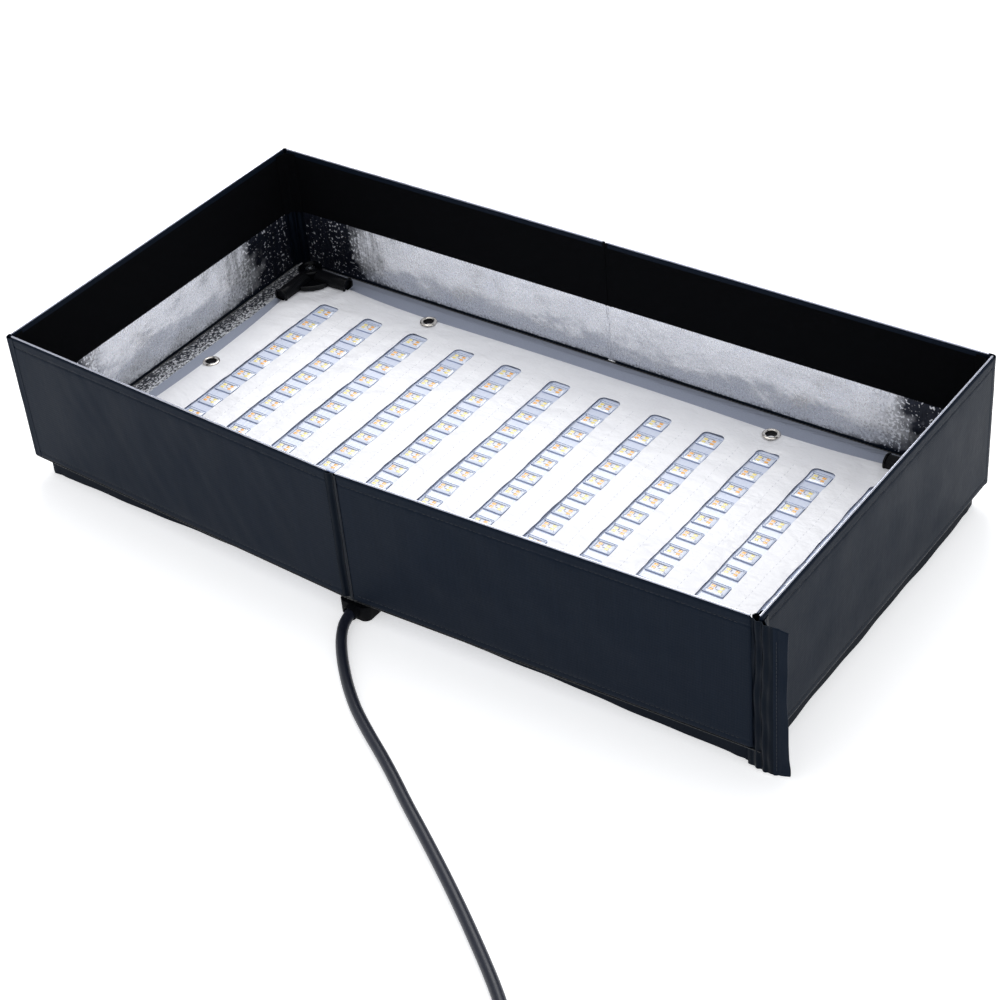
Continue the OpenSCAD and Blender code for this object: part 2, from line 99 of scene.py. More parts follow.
def apply_all(piece):
    pick(piece)
    for modifier in list(piece.modifiers):
        bpy.ops.object.modifier_apply(modifier=modifier.name)
    return piece


def as_mesh(curve):
    """Turns a curve into a mesh piece."""
    pick(curve)
    bpy.ops.object.convert(target="MESH")
    return curve


def modify(piece, kind, **settings):
    modifier = piece.modifiers.new(kind.title(), kind)
    for key, value in settings.items():
        setattr(modifier, key, value)
    return modifier


def smooth(piece, angle=40):
    pick(piece)
    bpy.ops.object.shade_smooth_by_angle(angle=math.radians(angle))
    return piece


def join(name, pieces):
    pick(pieces[0])
    for piece in pieces:
        piece.select_set(True)
    if len(pieces) > 1:
        bpy.ops.object.join()
    joined = bpy.context.view_layer.objects.active
    joined.name = name
    joined.data.name = name
    return joined


def coords(piece):
    co = np.zeros(len(piece.data.vertices) * 3)
    piece.data.vertices.foreach_get("co", co)
    return co.reshape(-1, 3)


def set_coords(piece, co):
    piece.data.vertices.foreach_set("co", np.asarray(co, float).ravel())
    piece.data.update()


def edit_all(piece, operator, **settings):
    """Runs one mesh operator on the whole piece in edit mode."""
    pick(piece)
    bpy.ops.object.mode_set(mode="EDIT")
    bpy.ops.mesh.select_all(action="SELECT")
    operator(**settings)
    bpy.ops.object.mode_set(mode="OBJECT")
    return piece


def outwards(piece):
    return edit_all(piece, bpy.ops.mesh.normals_make_consistent, inside=False)


def smoothstep(x, low, high):
    t = np.clip((x - low) / (high - low), 0, 1)
    return t * t * (3 - 2 * t)


def ripple(a, b, seed, wave):
    """Soft cloth waves over two surface directions, from -1 to 1; wave is the main wavelength."""
    rng = np.random.default_rng(seed)
    total = np.zeros_like(a)
    for octave in range(6):
        angle = rng.uniform(0, math.pi)
        length = wave * rng.uniform(0.45, 1.5)
        phase = rng.uniform(0, 2 * math.pi)
        bend = 0.6 * np.sin(2 * math.pi * b / (2.3 * wave) + phase)
        total += np.sin(2 * math.pi * (a * math.cos(angle) + b * math.sin(angle)) / length + phase + bend)
    return total / 6


# ---------------------------------------------------------------- materials

class Socket:
    """One output of a node; Python operators on it add Math nodes."""

    def __init__(self, finish, link):
        self.finish = finish
        self.link = link

    def math(self, operation, first, second):
        return self.finish.node("ShaderNodeMath", {"operation": operation}, {0: first, 1: second})

    def __add__(self, other):
        return self.math("ADD", self, other)

    __radd__ = __add__

    def __mul__(self, other):
        return self.math("MULTIPLY", self, other)

    __rmul__ = __mul__

    def __sub__(self, other):
        return self.math("SUBTRACT", self, other)

    def __rsub__(self, other):
        return self.math("SUBTRACT", other, self)

    def __gt__(self, other):
        return self.math("GREATER_THAN", self, other)

    def sin(self):
        return self.math("SINE", self, 0.0)

    def abs(self):
        return self.math("ABSOLUTE", self, 0.0)

    def clamp(self):
        return self.finish.node("ShaderNodeClamp", {}, {0: self})


class Finish:
    """A material with one Principled surface; fixed values go straight onto its sockets."""

    def __init__(self, name, **fixed):
        self.material = bpy.data.materials.new(name)
        self.material.use_nodes = True
        self.tree = self.material.node_tree
        self.surface = self.tree.nodes["Principled BSDF"]
        for key, value in fixed.items():
            self.surface.inputs[key.replace("_", " ")].default_value = value

    def node(self, kind, settings, inputs, out=0):
        made = self.tree.nodes.new(kind)
        for key, value in settings.items():
            setattr(made, key, value)
        self.feed(made, inputs)
        return Socket(self, made.outputs[out])

    def feed(self, made, inputs):
        for key, value in inputs.items():
            if isinstance(value, Socket):
                self.tree.links.new(value.link, made.inputs[key])
            else:
                made.inputs[key].default_value = value

    def place(self, scale=(1, 1, 1), turn=(0, 0, 0)):
        """Object coordinates in metres, scaled and turned."""
        point = self.node("ShaderNodeTexCoord", {}, {}, "Object")
        return self.node("ShaderNodeMapping", {}, {"Vector": point, "Scale": scale, "Rotation": turn})

    def cloth_place(self, scale=(1, 1, 1)):
        """The piece's own surface map, in metres."""
        point = self.node("ShaderNodeUVMap", {"uv_map": "cloth"}, {})
        return self.node("ShaderNodeMapping", {}, {"Vector": point, "Scale": scale})

    def noise(self, where, scale, detail=3.0, roughness=0.55):
        return self.node("ShaderNodeTexNoise", {}, {"Vector": where, "Scale": scale, "Detail": detail,
                                                    "Roughness": roughness})

    def axis(self, where, name):
        return self.node("ShaderNodeSeparateXYZ", {}, {0: where}, name)

    def mix(self, factor, first, second):
        made = self.tree.nodes.new("ShaderNodeMix")
        made.data_type = "RGBA"
        self.feed(made, {0: factor, 6: (*first, 1) if isinstance(first, tuple) else first,
                         7: (*second, 1) if isinstance(second, tuple) else second})
        return Socket(self, made.outputs[2])

    def bump(self, height, distance, strength=1.0, after=None):
        inputs = {"Height": height, "Distance": distance, "Strength": strength}
        if after is not None:
            inputs["Normal"] = after
        return self.node("ShaderNodeBump", {}, inputs)

    def show(self, **links):
        for key, value in links.items():
            self.tree.links.new(value.link, self.surface.inputs[key.replace("_", " ")])
        return self.material


def weave(finish, where, pitch):
    """Plain weave height from 0 to 1: threads go over and under each other."""
    turn = 2 * math.pi / pitch
    warp = (finish.axis(where, "X") * turn).sin()
    weft = (finish.axis(where, "Y") * turn).sin()
    return (warp * 0.5 + 0.5) * 0.6 + (weft * 0.5 + 0.5) * 0.4


def nylon(name, dark, light, pitch=1.1 * MM, rough=0.5, coat=0.0):
    finish = Finish(name, Coat_Roughness=0.30, Specular_IOR_Level=0.07, Specular_Tint=(0.5, 0.72, 1.0, 1.0),
                    Coat_Tint=(0.6, 0.8, 1.0, 1.0))
    where = finish.cloth_place()
    streaks = finish.noise(finish.cloth_place((420, 9, 1)), 1.0, 2.0)
    clouds = finish.noise(where, 22.0, 4.0)
    dust = finish.noise(where, 260.0, 2.0)
    tone = (streaks * 0.45 + clouds * 0.4 + dust * 0.25).clamp()
    colour = finish.mix(tone, dark, light)
    roughness = rough + (clouds - 0.5) * 0.22 + (dust - 0.5) * 0.08
    threads = finish.bump(weave(finish, where, pitch), 0.00012, 0.55)
    soft = finish.bump(finish.noise(where, 55.0, 3.0), 0.0009, 0.35, threads)
    finish.surface.inputs["Coat Weight"].default_value = coat
    return finish.show(Base_Color=colour, Roughness=roughness, Normal=soft)


def loop_pile(name):
    finish = Finish(name, Specular_IOR_Level=0.05)
    where = finish.cloth_place()
    pile = finish.noise(finish.cloth_place((1.0, 2.2, 1)), 900.0, 4.0, 0.7)
    tufts = finish.noise(where, 210.0, 3.0)
    tone = (pile * 0.7 + tufts * 0.3).clamp()
    colour = finish.mix(tone, (0.0006, 0.0007, 0.0010), (0.0036, 0.0040, 0.0052))
    return finish.show(Base_Color=colour, Roughness=0.86 + (pile - 0.5) * 0.2,
                       Normal=finish.bump(pile + tufts * 0.5, 0.0006, 0.8))


def silver_cloth(name):
    """Metallised cloth: smooth and bright on the open wall. Where the piece's crumple_and_shade attribute
    rises towards a corner or the foot, the cloth is crushed in its bumps and painted dark as shade, with
    painted bright glints standing for reflections."""
    finish = Finish(name, Metallic=0.60)
    where = finish.cloth_place()
    crumple_and_shade = finish.node("ShaderNodeAttribute", {"attribute_name": "crumple_and_shade"}, {}, "Fac")
    patches = finish.noise(where, 30.0, 3.0, 0.6)
    pebbles = finish.noise(finish.cloth_place((1.0, 0.8, 1)), 430.0, 1.0, 0.6)
    creases = finish.noise(finish.cloth_place((210.0, 14.0, 1)), 1.0, 3.0, 0.6)
    dents = finish.noise(where, 15.0, 2.0)
    # painted shade: the colour darkens in patches towards the corners and the foot
    dark = ((crumple_and_shade * 2.4 + (patches - 0.5) * 5.2 * crumple_and_shade) - 0.30).clamp()
    # painted glints: bright specks on the painted shade stand for reflections of the crushed metal
    painted_glints = ((pebbles * 0.78 + creases * 0.32 - 0.50 - dark * 0.15) * 22.0).clamp()
    shade = (dark * (1.0 - painted_glints * 0.95)).clamp()
    bright = finish.mix(dents, (0.88, 0.90, 0.95), (0.98, 0.98, 1.0))
    colour = finish.mix(shade, bright, (0.010, 0.013, 0.024))
    soft = finish.bump(dents * 1.0 + patches * 0.4, 0.010, 0.55)
    folds = finish.bump(creases * crumple_and_shade, 0.004, 0.7, soft)
    grain = finish.bump(pebbles * (0.22 + crumple_and_shade), 0.0006, 0.50, folds)
    return finish.show(Base_Color=colour, Roughness=0.27 + (pebbles - 0.5) * 0.2 + crumple_and_shade * 0.1,
                       Normal=grain)


def floor_silver(name):
    """Grey coated cloth beside the mat that turns to crinkled foil close to the short walls. The foil's
    colour is painted reflection, dark with painted bright glints, fewer of them at the walls' foot as
    painted shade; the strip under the walls is painted near-black as shade.
    """
    finish = Finish(name)
    where = finish.place()
    across = finish.axis(where, "X").abs()
    wobble = (finish.noise(where, 60.0, 2.0) - 0.5) * 0.003
    foil = ((across + wobble - 0.3300) * 900.0).clamp()
    crinkle = finish.noise(finish.place((1.0, 0.7, 1)), 520.0, 3.0, 0.75)
    fine = finish.noise(where, 700.0, 2.0)
    # painted shade: fewer glints close to the foot of the short walls
    foot_shade = ((across - 0.3330) * 90.0).clamp()
    painted_glints = ((crinkle - 0.44 - foot_shade * 0.10) * 14.0).clamp()
    plain = finish.mix(fine, (0.30, 0.33, 0.42), (0.37, 0.40, 0.49))
    # painted reflection: the foil is coloured dark with painted bright glints
    sparkle = finish.mix(painted_glints, (0.03, 0.035, 0.05), (0.90, 0.91, 0.95))
    hatch = (finish.axis(finish.place((1, 1, 1), (0, 0, 0.9)), "X") * (2 * math.pi / 0.0021)).sin()
    long_foot = ((finish.axis(where, "Y").abs() - 0.1665) * 400.0).clamp() * (1.0 - foil)
    ribbed = finish.mix(long_foot * (hatch > 0.35) * 0.55, plain, (0.07, 0.08, 0.11))
    # painted shade: the strip under the walls is coloured near-black and not metallic
    under = finish.node("ShaderNodeAttribute", {"attribute_name": "under"}, {}, "Fac")
    unshaded = 1.0 - (under * 4.0).clamp()
    cloth = finish.mix(unshaded, (0.002, 0.003, 0.005), finish.mix(foil, ribbed, sparkle))
    return finish.show(Base_Color=cloth, Metallic=(foil * 0.75 + 0.12) * unshaded,
                       Roughness=0.52 - foil * 0.20,
                       Normal=finish.bump(crinkle * foil + fine * 0.1 + hatch * long_foot * 0.1, 0.003, 0.8))


def satin_sheet(name):
    finish = Finish(name, Specular_IOR_Level=0.4)
    where = finish.place()
    soft = finish.noise(finish.place((1, 1.8, 1)), 34.0, 4.0)
    fine = finish.noise(where, 240.0, 3.0)
    turn = 2 * math.pi / (0.9 * MM)
    threads = (finish.axis(where, "X") * turn).sin() * 0.5 + (finish.axis(where, "Y") * turn).sin() * 0.5
    colour = finish.mix((soft * 0.8 + fine * 0.2).clamp(), (0.84, 0.84, 0.88), (0.94, 0.94, 0.965))
    woven = finish.bump(threads, 0.00005, 0.5)
    return finish.show(Base_Color=colour, Roughness=0.36 + (soft - 0.5) * 0.3,
                       Normal=finish.bump(soft, 0.006, 0.6, woven))


def moulded(name, colour, light, rough=0.35, grain=1400.0, coat=0.0, depth=0.00008, shine=0.4):
    finish = Finish(name, Coat_Roughness=0.10, Coat_Weight=coat, Specular_IOR_Level=shine)
    where = finish.place()
    texture = finish.noise(where, grain, 2.0)
    scuffs = finish.noise(where, 70.0, 5.0, 0.65)
    tone = finish.mix(scuffs, colour, light)
    return finish.show(Base_Color=tone, Roughness=rough + (scuffs - 0.5) * 0.22 + (texture - 0.5) * 0.06,
                       Normal=finish.bump(texture, depth, 0.8))


def braided(name):
    """Ribbed braid over the holders' arms: fine crossing ridges."""
    finish = Finish(name, Coat_Weight=0.10, Coat_Roughness=0.08, Specular_IOR_Level=0.08)
    where = finish.place()
    turn = 2 * math.pi / (1.5 * MM)
    one = ((finish.axis(where, "X") + finish.axis(where, "Z")) * turn).sin()
    two = ((finish.axis(where, "Y") + finish.axis(where, "Z") * 0.5) * turn).sin()
    ridges = (one * two) * 0.5 + 0.5
    colour = finish.mix(ridges, (0.0006, 0.0007, 0.0012), (0.0060, 0.0066, 0.0090))
    return finish.show(Base_Color=colour, Roughness=0.38 - ridges * 0.12,
                       Normal=finish.bump(ridges, 0.0004, 0.9))


def metal(name, colour, rough=0.22, brushed=0.0):
    finish = Finish(name, Metallic=1.0)
    where = finish.place((1, 1, 12)) if brushed else finish.place()
    marks = finish.noise(where, 420.0, 3.0)
    clouds = finish.noise(finish.place(), 90.0, 3.0)
    tone = finish.mix(clouds, tuple(0.72 * c for c in colour), colour)
    return finish.show(Base_Color=tone, Roughness=rough + (marks - 0.5) * 0.16,
                       Normal=finish.bump(marks, 0.00006, 0.5))


def clear_resin(name):
    """Lens tile: pale, cool and glossy, with painted shade round its edge and round its sunk window."""
    finish = Finish(name, Roughness=0.10, Specular_IOR_Level=0.6, Coat_Weight=0.5, Coat_Roughness=0.04,
                    IOR=1.45)
    where = finish.place()
    edge = finish.node("ShaderNodeAttribute", {"attribute_name": "lens_edge_shade"}, {}, "Fac")
    streak = finish.noise(where, 320.0, 2.0)
    body = finish.mix(streak, (0.74, 0.80, 0.94), (0.82, 0.87, 0.98))
    # painted shade: darker blue on the marked outer edge and window rim
    colour = finish.mix(edge, body, (0.40, 0.47, 0.66))
    return finish.show(Base_Color=colour, Roughness=0.08 + streak * 0.08,
                       Normal=finish.bump(streak, 0.0002, 0.3))


def phosphor(name, colour, light):
    finish = Finish(name, Specular_IOR_Level=0.55, Coat_Weight=0.6, Coat_Roughness=0.08)
    where = finish.place()
    grain = finish.noise(where, 1800.0, 2.0)
    batch = finish.noise(where, 45.0, 1.0)
    tone = finish.mix((grain * 0.3 + batch * 0.9 - 0.1).clamp(), colour, light)
    return finish.show(Base_Color=tone, Roughness=0.3 + (grain - 0.5) * 0.2,
                       Normal=finish.bump(grain, 0.0001, 0.5))


def film(name):
    """Flexible circuit between the lenses: pale film with faint tracks."""
    finish = Finish(name, Coat_Weight=0.3, Coat_Roughness=0.15)
    where = finish.place()
    tracks = (finish.axis(where, "X") * (2 * math.pi / 0.0042)).sin()
    clouds = finish.noise(where, 60.0, 3.0)
    colour = finish.mix((tracks * 0.12 + clouds * 0.7).clamp(), (0.66, 0.71, 0.86), (0.74, 0.79, 0.92))
    return finish.show(Base_Color=colour, Roughness=0.30 + (clouds - 0.5) * 0.15,
                       Normal=finish.bump(tracks, 0.00006, 0.4))


def jacket(name):
    finish = Finish(name, Coat_Weight=0.10, Coat_Roughness=0.3, Specular_IOR_Level=0.30)
    where = finish.place()
    scuffs = finish.noise(where, 45.0, 5.0, 0.6)
    grain = finish.noise(where, 1100.0, 2.0)
    colour = finish.mix(scuffs, (0.0065, 0.0085, 0.0165), (0.0160, 0.0195, 0.0340))
    return finish.show(Base_Color=colour, Roughness=0.42 + (scuffs - 0.5) * 0.24,
                       Normal=finish.bump(grain + scuffs, 0.00012, 0.7))


NYLON = nylon("black_nylon", (0.0022, 0.0042, 0.0088), (0.0080, 0.0125, 0.0225))
# darker than the wall nylon: the gussets' own black, with painted shade added for the recessed creases and
# corners they fill
GUSSET = nylon("gusset_nylon", (0.0006, 0.0011, 0.0026), (0.0038, 0.0062, 0.0115), rough=0.32)
# painted highlight: the rim's black piping is given a pale metal colour so that it shows as a bright line
PIPING_HIGHLIGHT = metal("rim_piping_highlight", (0.62, 0.64, 0.74), rough=0.24)
BINDING = moulded("skirt_binding", (0.0016, 0.0022, 0.0036), (0.0050, 0.0060, 0.0080), rough=0.5, shine=0.2)
# painted shade: the slots' cut walls are coloured dark blue-grey for their shadowed inner walls
SLOT_WALL_SHADE = moulded("slot_wall_shade", (0.16, 0.18, 0.26), (0.25, 0.28, 0.36), rough=0.5)
PILE = loop_pile("loop_band")
LINING = silver_cloth("silver_lining")
FLOOR_SILVER = floor_silver("floor_silver")
SHEET = satin_sheet("white_sheet")
THREAD = moulded("dark_thread", (0.012, 0.013, 0.017), (0.045, 0.047, 0.055), rough=0.6, grain=3000.0)
PALE_THREAD = moulded("pale_thread", (0.40, 0.41, 0.47), (0.58, 0.59, 0.65), rough=0.6, grain=3000.0)
SKIRT = nylon("skirt_cloth", (0.0024, 0.0036, 0.0066), (0.0072, 0.0096, 0.0155), pitch=1.4 * MM, rough=0.6)
BACKING = moulded("mat_backing", (0.24, 0.26, 0.31), (0.30, 0.32, 0.37), rough=0.5, grain=900.0)
RESIN = clear_resin("lens_resin")
PACKAGE = moulded("package_white", (0.74, 0.76, 0.86), (0.84, 0.86, 0.94), rough=0.35)
CHIP = moulded("chip_grey", (0.16, 0.18, 0.24), (0.26, 0.28, 0.35), rough=0.3)
YELLOW = phosphor("phosphor_yellow", (0.93, 0.73, 0.18), (0.98, 0.85, 0.36))
ORANGE = phosphor("phosphor_orange", (0.96, 0.40, 0.06), (0.98, 0.56, 0.16))
FILM = film("circuit_film")
NICKEL = metal("nickel", (0.78, 0.74, 0.69), rough=0.16)
# painted shade: near-black metal for the inside of the eyelet holes
NICKEL_HOLE_SHADE = metal("nickel_hole_shade", (0.035, 0.034, 0.036), rough=0.5)
STEEL = metal("screw_steel", (0.50, 0.51, 0.53), rough=0.28)
BRASS = metal("brass", (0.78, 0.56, 0.24), rough=0.26)
ALLOY = metal("anodised", (0.40, 0.41, 0.43), rough=0.34, brushed=1.0)
HOLDER = moulded("holder_plastic", (0.0008, 0.0010, 0.0016), (0.0022, 0.0026, 0.0040), rough=0.20,
                 coat=0.20, shine=0.08)
BRAID = braided("holder_braid")
PLASTIC = moulded("black_plastic", (0.010, 0.0105, 0.012), (0.026, 0.027, 0.030), rough=0.42)
FIBRE = moulded("rod_fibre", (0.012, 0.013, 0.015), (0.030, 0.031, 0.034), rough=0.33, grain=500.0)
JACKET = jacket("cable_jacket")
RUBBER = moulded("outlet_rubber", (0.0018, 0.0020, 0.0028), (0.0050, 0.0056, 0.0072), rough=0.50, shine=0.05)


def paint(piece, *materials):
    piece.data.materials.clear()
    for material in materials:
        piece.data.materials.append(material)
    return piece


# ---------------------------------------------------------------- camera and floor

def make_camera():
    """The camera stands at the front right and looks down on the box, a little tilted."""
    data = bpy.data.cameras.new("camera")
    data.lens = 79.9
    data.sensor_width = 36
    data.clip_end = 30
    camera = bpy.data.objects.new("camera", data)
    bpy.context.scene.collection.objects.link(camera)
    camera.location = (0.9166, -1.1376, 1.0988)
    target = Vector((0.0713, -0.0858, 0.070))
    camera.rotation_euler = (target - camera.location).to_track_quat("-Z", "Y").to_euler()
    camera.rotation_euler.rotate_axis("Z", math.radians(-5.62))
    bpy.context.scene.camera = camera


make_camera()

# ---------------------------------------------------------------- the lead

# The route's points and the coil are the ones of the CAD lead, in metres
CORD_R = 4.5 * MM
TIE_T = 1 * MM
TIE_W = 19 * MM
TIE_ANGLE = 200
ROUTE = [(1, -184, 6.5), (1, -191, 6.5), (2, -199, 6), (5, -208, 5.5), (11, -218, 5), (18, -227, 4.5),
         (27, -237, 4.5), (37, -247, 4.5), (50, -259, 4.5), (70, -275, 4.5), (93, -290, 4.5),
         (118, -305, 4.5), (140, -319, 4.5), (161, -333, 4.5), (194, -354, 4.5), (232, -379, 4.5),
         (268, -404, 4.5), (306, -432, 4.5), (336, -457, 5)]
COIL_AT = Vector((335, -525, 0)) * MM
COIL_R = 50 * MM
ENTER = math.radians(57)
LEAVE = ENTER - math.radians(90)
OUTER_TURN = COIL_R + CORD_R
INNER_TURN = COIL_R - CORD_R
LOW_LAYER = CORD_R + TIE_T
HIGH_LAYER = 3 * CORD_R + TIE_T
TAIL_DIR = Vector((math.sin(LEAVE), -math.cos(LEAVE), 0))
TAIL_LEN = 70 * MM
PLUG_Z = 10.5 * MM


def on_turn(angle, radius, height):
    return COIL_AT + Vector((radius * math.cos(angle), radius * math.sin(angle), height))


def coil_points():
    """The turns: outer and inner on the ground, then outer on top, with soft steps between them."""
    points = []
    per_turn = 24
    total = 3.25
    for step in range(int(per_turn * total) + 1):
        turned = step / per_turn
        angle = ENTER - 2 * math.pi * turned
        inward = float(smoothstep(np.array(turned), 0.80, 1.05) - smoothstep(np.array(turned), 1.86, 2.10))
        lift = float(smoothstep(np.array(turned), 1.80, 2.06))
        radius = OUTER_TURN + (INNER_TURN - OUTER_TURN) * inward
        height = LOW_LAYER + (HIGH_LAYER - LOW_LAYER) * lift
        points.append(on_turn(angle, radius, height))
    return points


def route_points():
    start = [Vector(p) * MM for p in ROUTE]
    turns = coil_points()
    leave = turns[-1]
    plug = leave + TAIL_DIR * TAIL_LEN
    plug.z = PLUG_Z
    tail = [leave.lerp(plug, t) for t in (1 / 3, 2 / 3)]
    tail[0].z = HIGH_LAYER - 0.3 * MM
    tail[1].z = PLUG_Z
    return start + turns + tail + [plug]


def path_through(points, per_span=6):
    """A smooth line through the points (Catmull-Rom)."""
    line = []
    for i in range(len(points) - 1):
        a = points[max(i - 1, 0)]
        b = points[i]
        c = points[i + 1]
        d = points[min(i + 2, len(points) - 1)]
        for k in range(per_span):
            t = k / per_span
            line.append(0.5 * (2 * b + (c - a) * t + (2 * a - 5 * b + 4 * c - d) * t * t
                               + (3 * b - a - 3 * c + d) * t ** 3))
    return line + [points[-1]]


def length_of(line):
    return sum((b - a).length for a, b in zip(line, line[1:]))


def tube_curve(name, line, radius, resolution=4):
    data = bpy.data.curves.new(name, "CURVE")
    data.dimensions = "3D"
    data.bevel_depth = radius
    data.bevel_resolution = resolution
    data.use_fill_caps = True
    spline = data.splines.new("POLY")
    spline.points.add(len(line) - 1)
    for point, at in zip(spline.points, line):
        point.co = (*at, 1)
    curve = bpy.data.objects.new(name, data)
    bpy.context.scene.collection.objects.link(curve)
    return curve


CORD_LINE = path_through(route_points(), 4)
lead = tube_curve("lead", CORD_LINE, CORD_R)
lead.data.materials.append(JACKET)
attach(lead, "base")
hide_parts("cord_run", "cord_coil", "cord_tail")


def make_tie():
    """Hook-and-loop strap: a flat band wound round the coil, with its free end lapped over."""
    angle = math.radians(TIE_ANGLE)
    out = Vector((math.cos(angle), math.sin(angle), 0))
    along = Vector((-out.y, out.x, 0))
    centre = COIL_AT + out * COIL_R + Vector((0, 0, 2 * CORD_R + TIE_T))
    half = 2 * CORD_R + 0.5 * MM
    bpy.ops.mesh.primitive_grid_add(x_subdivisions=72, y_subdivisions=8, size=1)
    strap = bpy.context.object
    strap.name = "cable_strap"
    flat = coords(strap)
    turn = (flat[:, 0] + 0.5) * 2 * math.pi * 1.16 + 0.4
    cos, sin = np.cos(turn), np.sin(turn)
    power = 0.42
    lap = 0.6 * MM * smoothstep(flat[:, 0] + 0.5, 0.84, 0.90)
    across = np.sign(cos) * np.abs(cos) ** power * (half + lap)
    up = np.sign(sin) * np.abs(sin) ** power * (half - 0.1 * MM + lap)
    wide = flat[:, 1] * TIE_W
    points = (np.array(centre) + across[:, None] * np.array(out) + wide[:, None] * np.array(along)
              + up[:, None] * np.array((0, 0, 1.0)))
    points[:, 2] = np.maximum(points[:, 2], 0.35 * MM)
    set_coords(strap, points)
    modify(strap, "SOLIDIFY", thickness=0.7 * MM, offset=0)
    apply_all(strap)
    outwards(strap)
    name_cloth_map(strap, 0.085, TIE_W)
    paint(strap, PILE)
    smooth(strap)
    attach(strap, "base")
    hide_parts("cable_tie")
    return strap


def name_cloth_map(piece, wide, tall):
    """Names the piece's surface map and gives it in metres."""
    layer = piece.data.uv_layers[0]
    layer.name = "cloth"
    uv = np.zeros(len(layer.data) * 2)
    layer.data.foreach_get("uv", uv)
    uv = uv.reshape(-1, 2) * np.array((wide, tall))
    layer.data.foreach_set("uv", uv.ravel())


strap = make_tie()
length_of(CORD_LINE)

# ---------------------------------------------------------------- wall panels

# Each panel: a point on its outer face, the way along it, the way in, its length, and what it leaves
# free at its two ends for the fabric that joins it to its neighbours
CREASE_GAP = 3.2 * MM
BACK_CREASE_GAP = 1.0 * MM
CORNER_GAP = 3.2 * MM
COS, SIN = math.cos(BOW), math.sin(BOW)
PANELS = {
    "left_end": ((-OUT_X, OUT_Y), (0, -1), (1, 0), 2 * OUT_Y, CORNER_GAP, CORNER_GAP),
    "right_end": ((OUT_X, -OUT_Y), (0, 1), (-1, 0), 2 * OUT_Y, CORNER_GAP, CORNER_GAP),
    "back_left": ((0, OUT_Y), (-1, 0), (0, -1), IN_X, BACK_CREASE_GAP, 1.0 * MM),
    "back_right": ((IN_X, OUT_Y), (-1, 0), (0, -1), IN_X, 1.0 * MM, BACK_CREASE_GAP),
    "front_left": ((-IN_X, -OUT_Y), (COS, -SIN), (SIN, COS), FRONT_LEN, 1.0 * MM, CREASE_GAP),
    "front_right": ((IN_X - FRONT_LEN * COS, -OUT_Y - FRONT_LEN * SIN), (COS, SIN), (-SIN, COS),
                    FRONT_LEN, CREASE_GAP, 3.4 * MM),
}
# A half panel has a corner of the ring at one end and the crease at the other
CORNER_ENDS = {"back_left": (False, True), "back_right": (True, False), "front_left": (True, False),
               "front_right": (False, True)}
FACE = 0.35 * MM
END_ROUND = 3.0 * MM
HEM = 8 * MM
LOW_SEAM = 6 * MM


def on_panel(panel, along, depth, height):
    """Points on a panel: along its length, in from its outer face, and up."""
    start, way, inward = PANELS[panel][:3]
    x = start[0] + along * way[0] + depth * inward[0]
    y = start[1] + along * way[1] + depth * inward[1]
    return np.stack([x, y, height], 1)


def cloth_grid(name, columns, rows):
    """A flat unit grid, as cloth before it is laid over its shape. Its surface runs from 0 to 1."""
    deselect()
    bpy.ops.mesh.primitive_grid_add(x_subdivisions=columns, y_subdivisions=rows, size=1)
    cloth = bpy.context.object
    cloth.name = name
    cloth.data.name = name
    flat = coords(cloth) + 0.5
    return cloth, flat[:, 0], flat[:, 1]


def finish_cloth(cloth, material, wide, tall, thick, towards, offset=-1.0):
    """Gives the laid cloth its thickness, its surface map in metres and its material."""
    mesh = cloth.data
    normal = sum((p.normal * p.area for p in mesh.polygons), Vector())
    if normal.dot(Vector(towards)) < 0:
        edit_all(cloth, bpy.ops.mesh.flip_normals)
    name_cloth_map(cloth, wide, tall)
    modify(cloth, "SOLIDIFY", thickness=thick, offset=offset)
    apply_all(cloth)
    paint(cloth, material)
    return smooth(cloth, 60)


def end_shape(along, length, gap_a, gap_b):
    """How full the panel is at its ends: 0 at the very end, 1 past the rounding."""
    near = np.minimum(along - gap_a, length - gap_b - along)
    inside = np.clip(near / END_ROUND, 0, 1)
    return np.sqrt(np.clip(1 - (1 - inside) ** 2, 0, 1))


def along_panel(u, length, gap_a, gap_b):
    """Spreads columns along a panel, closer together at its rounded ends."""
    return np.interp(u, [0, 0.06, 0.94, 1],
                     [gap_a, gap_a + END_ROUND, length - gap_b - END_ROUND, length - gap_b])


def panel_depth(panel):
    """Mid depth and half thickness of a padded panel."""
    outer = 0.0 if panel.endswith("_end") else FACE
    inner = WALL_T - FACE
    return (outer + inner) / 2, (inner - outer) / 2


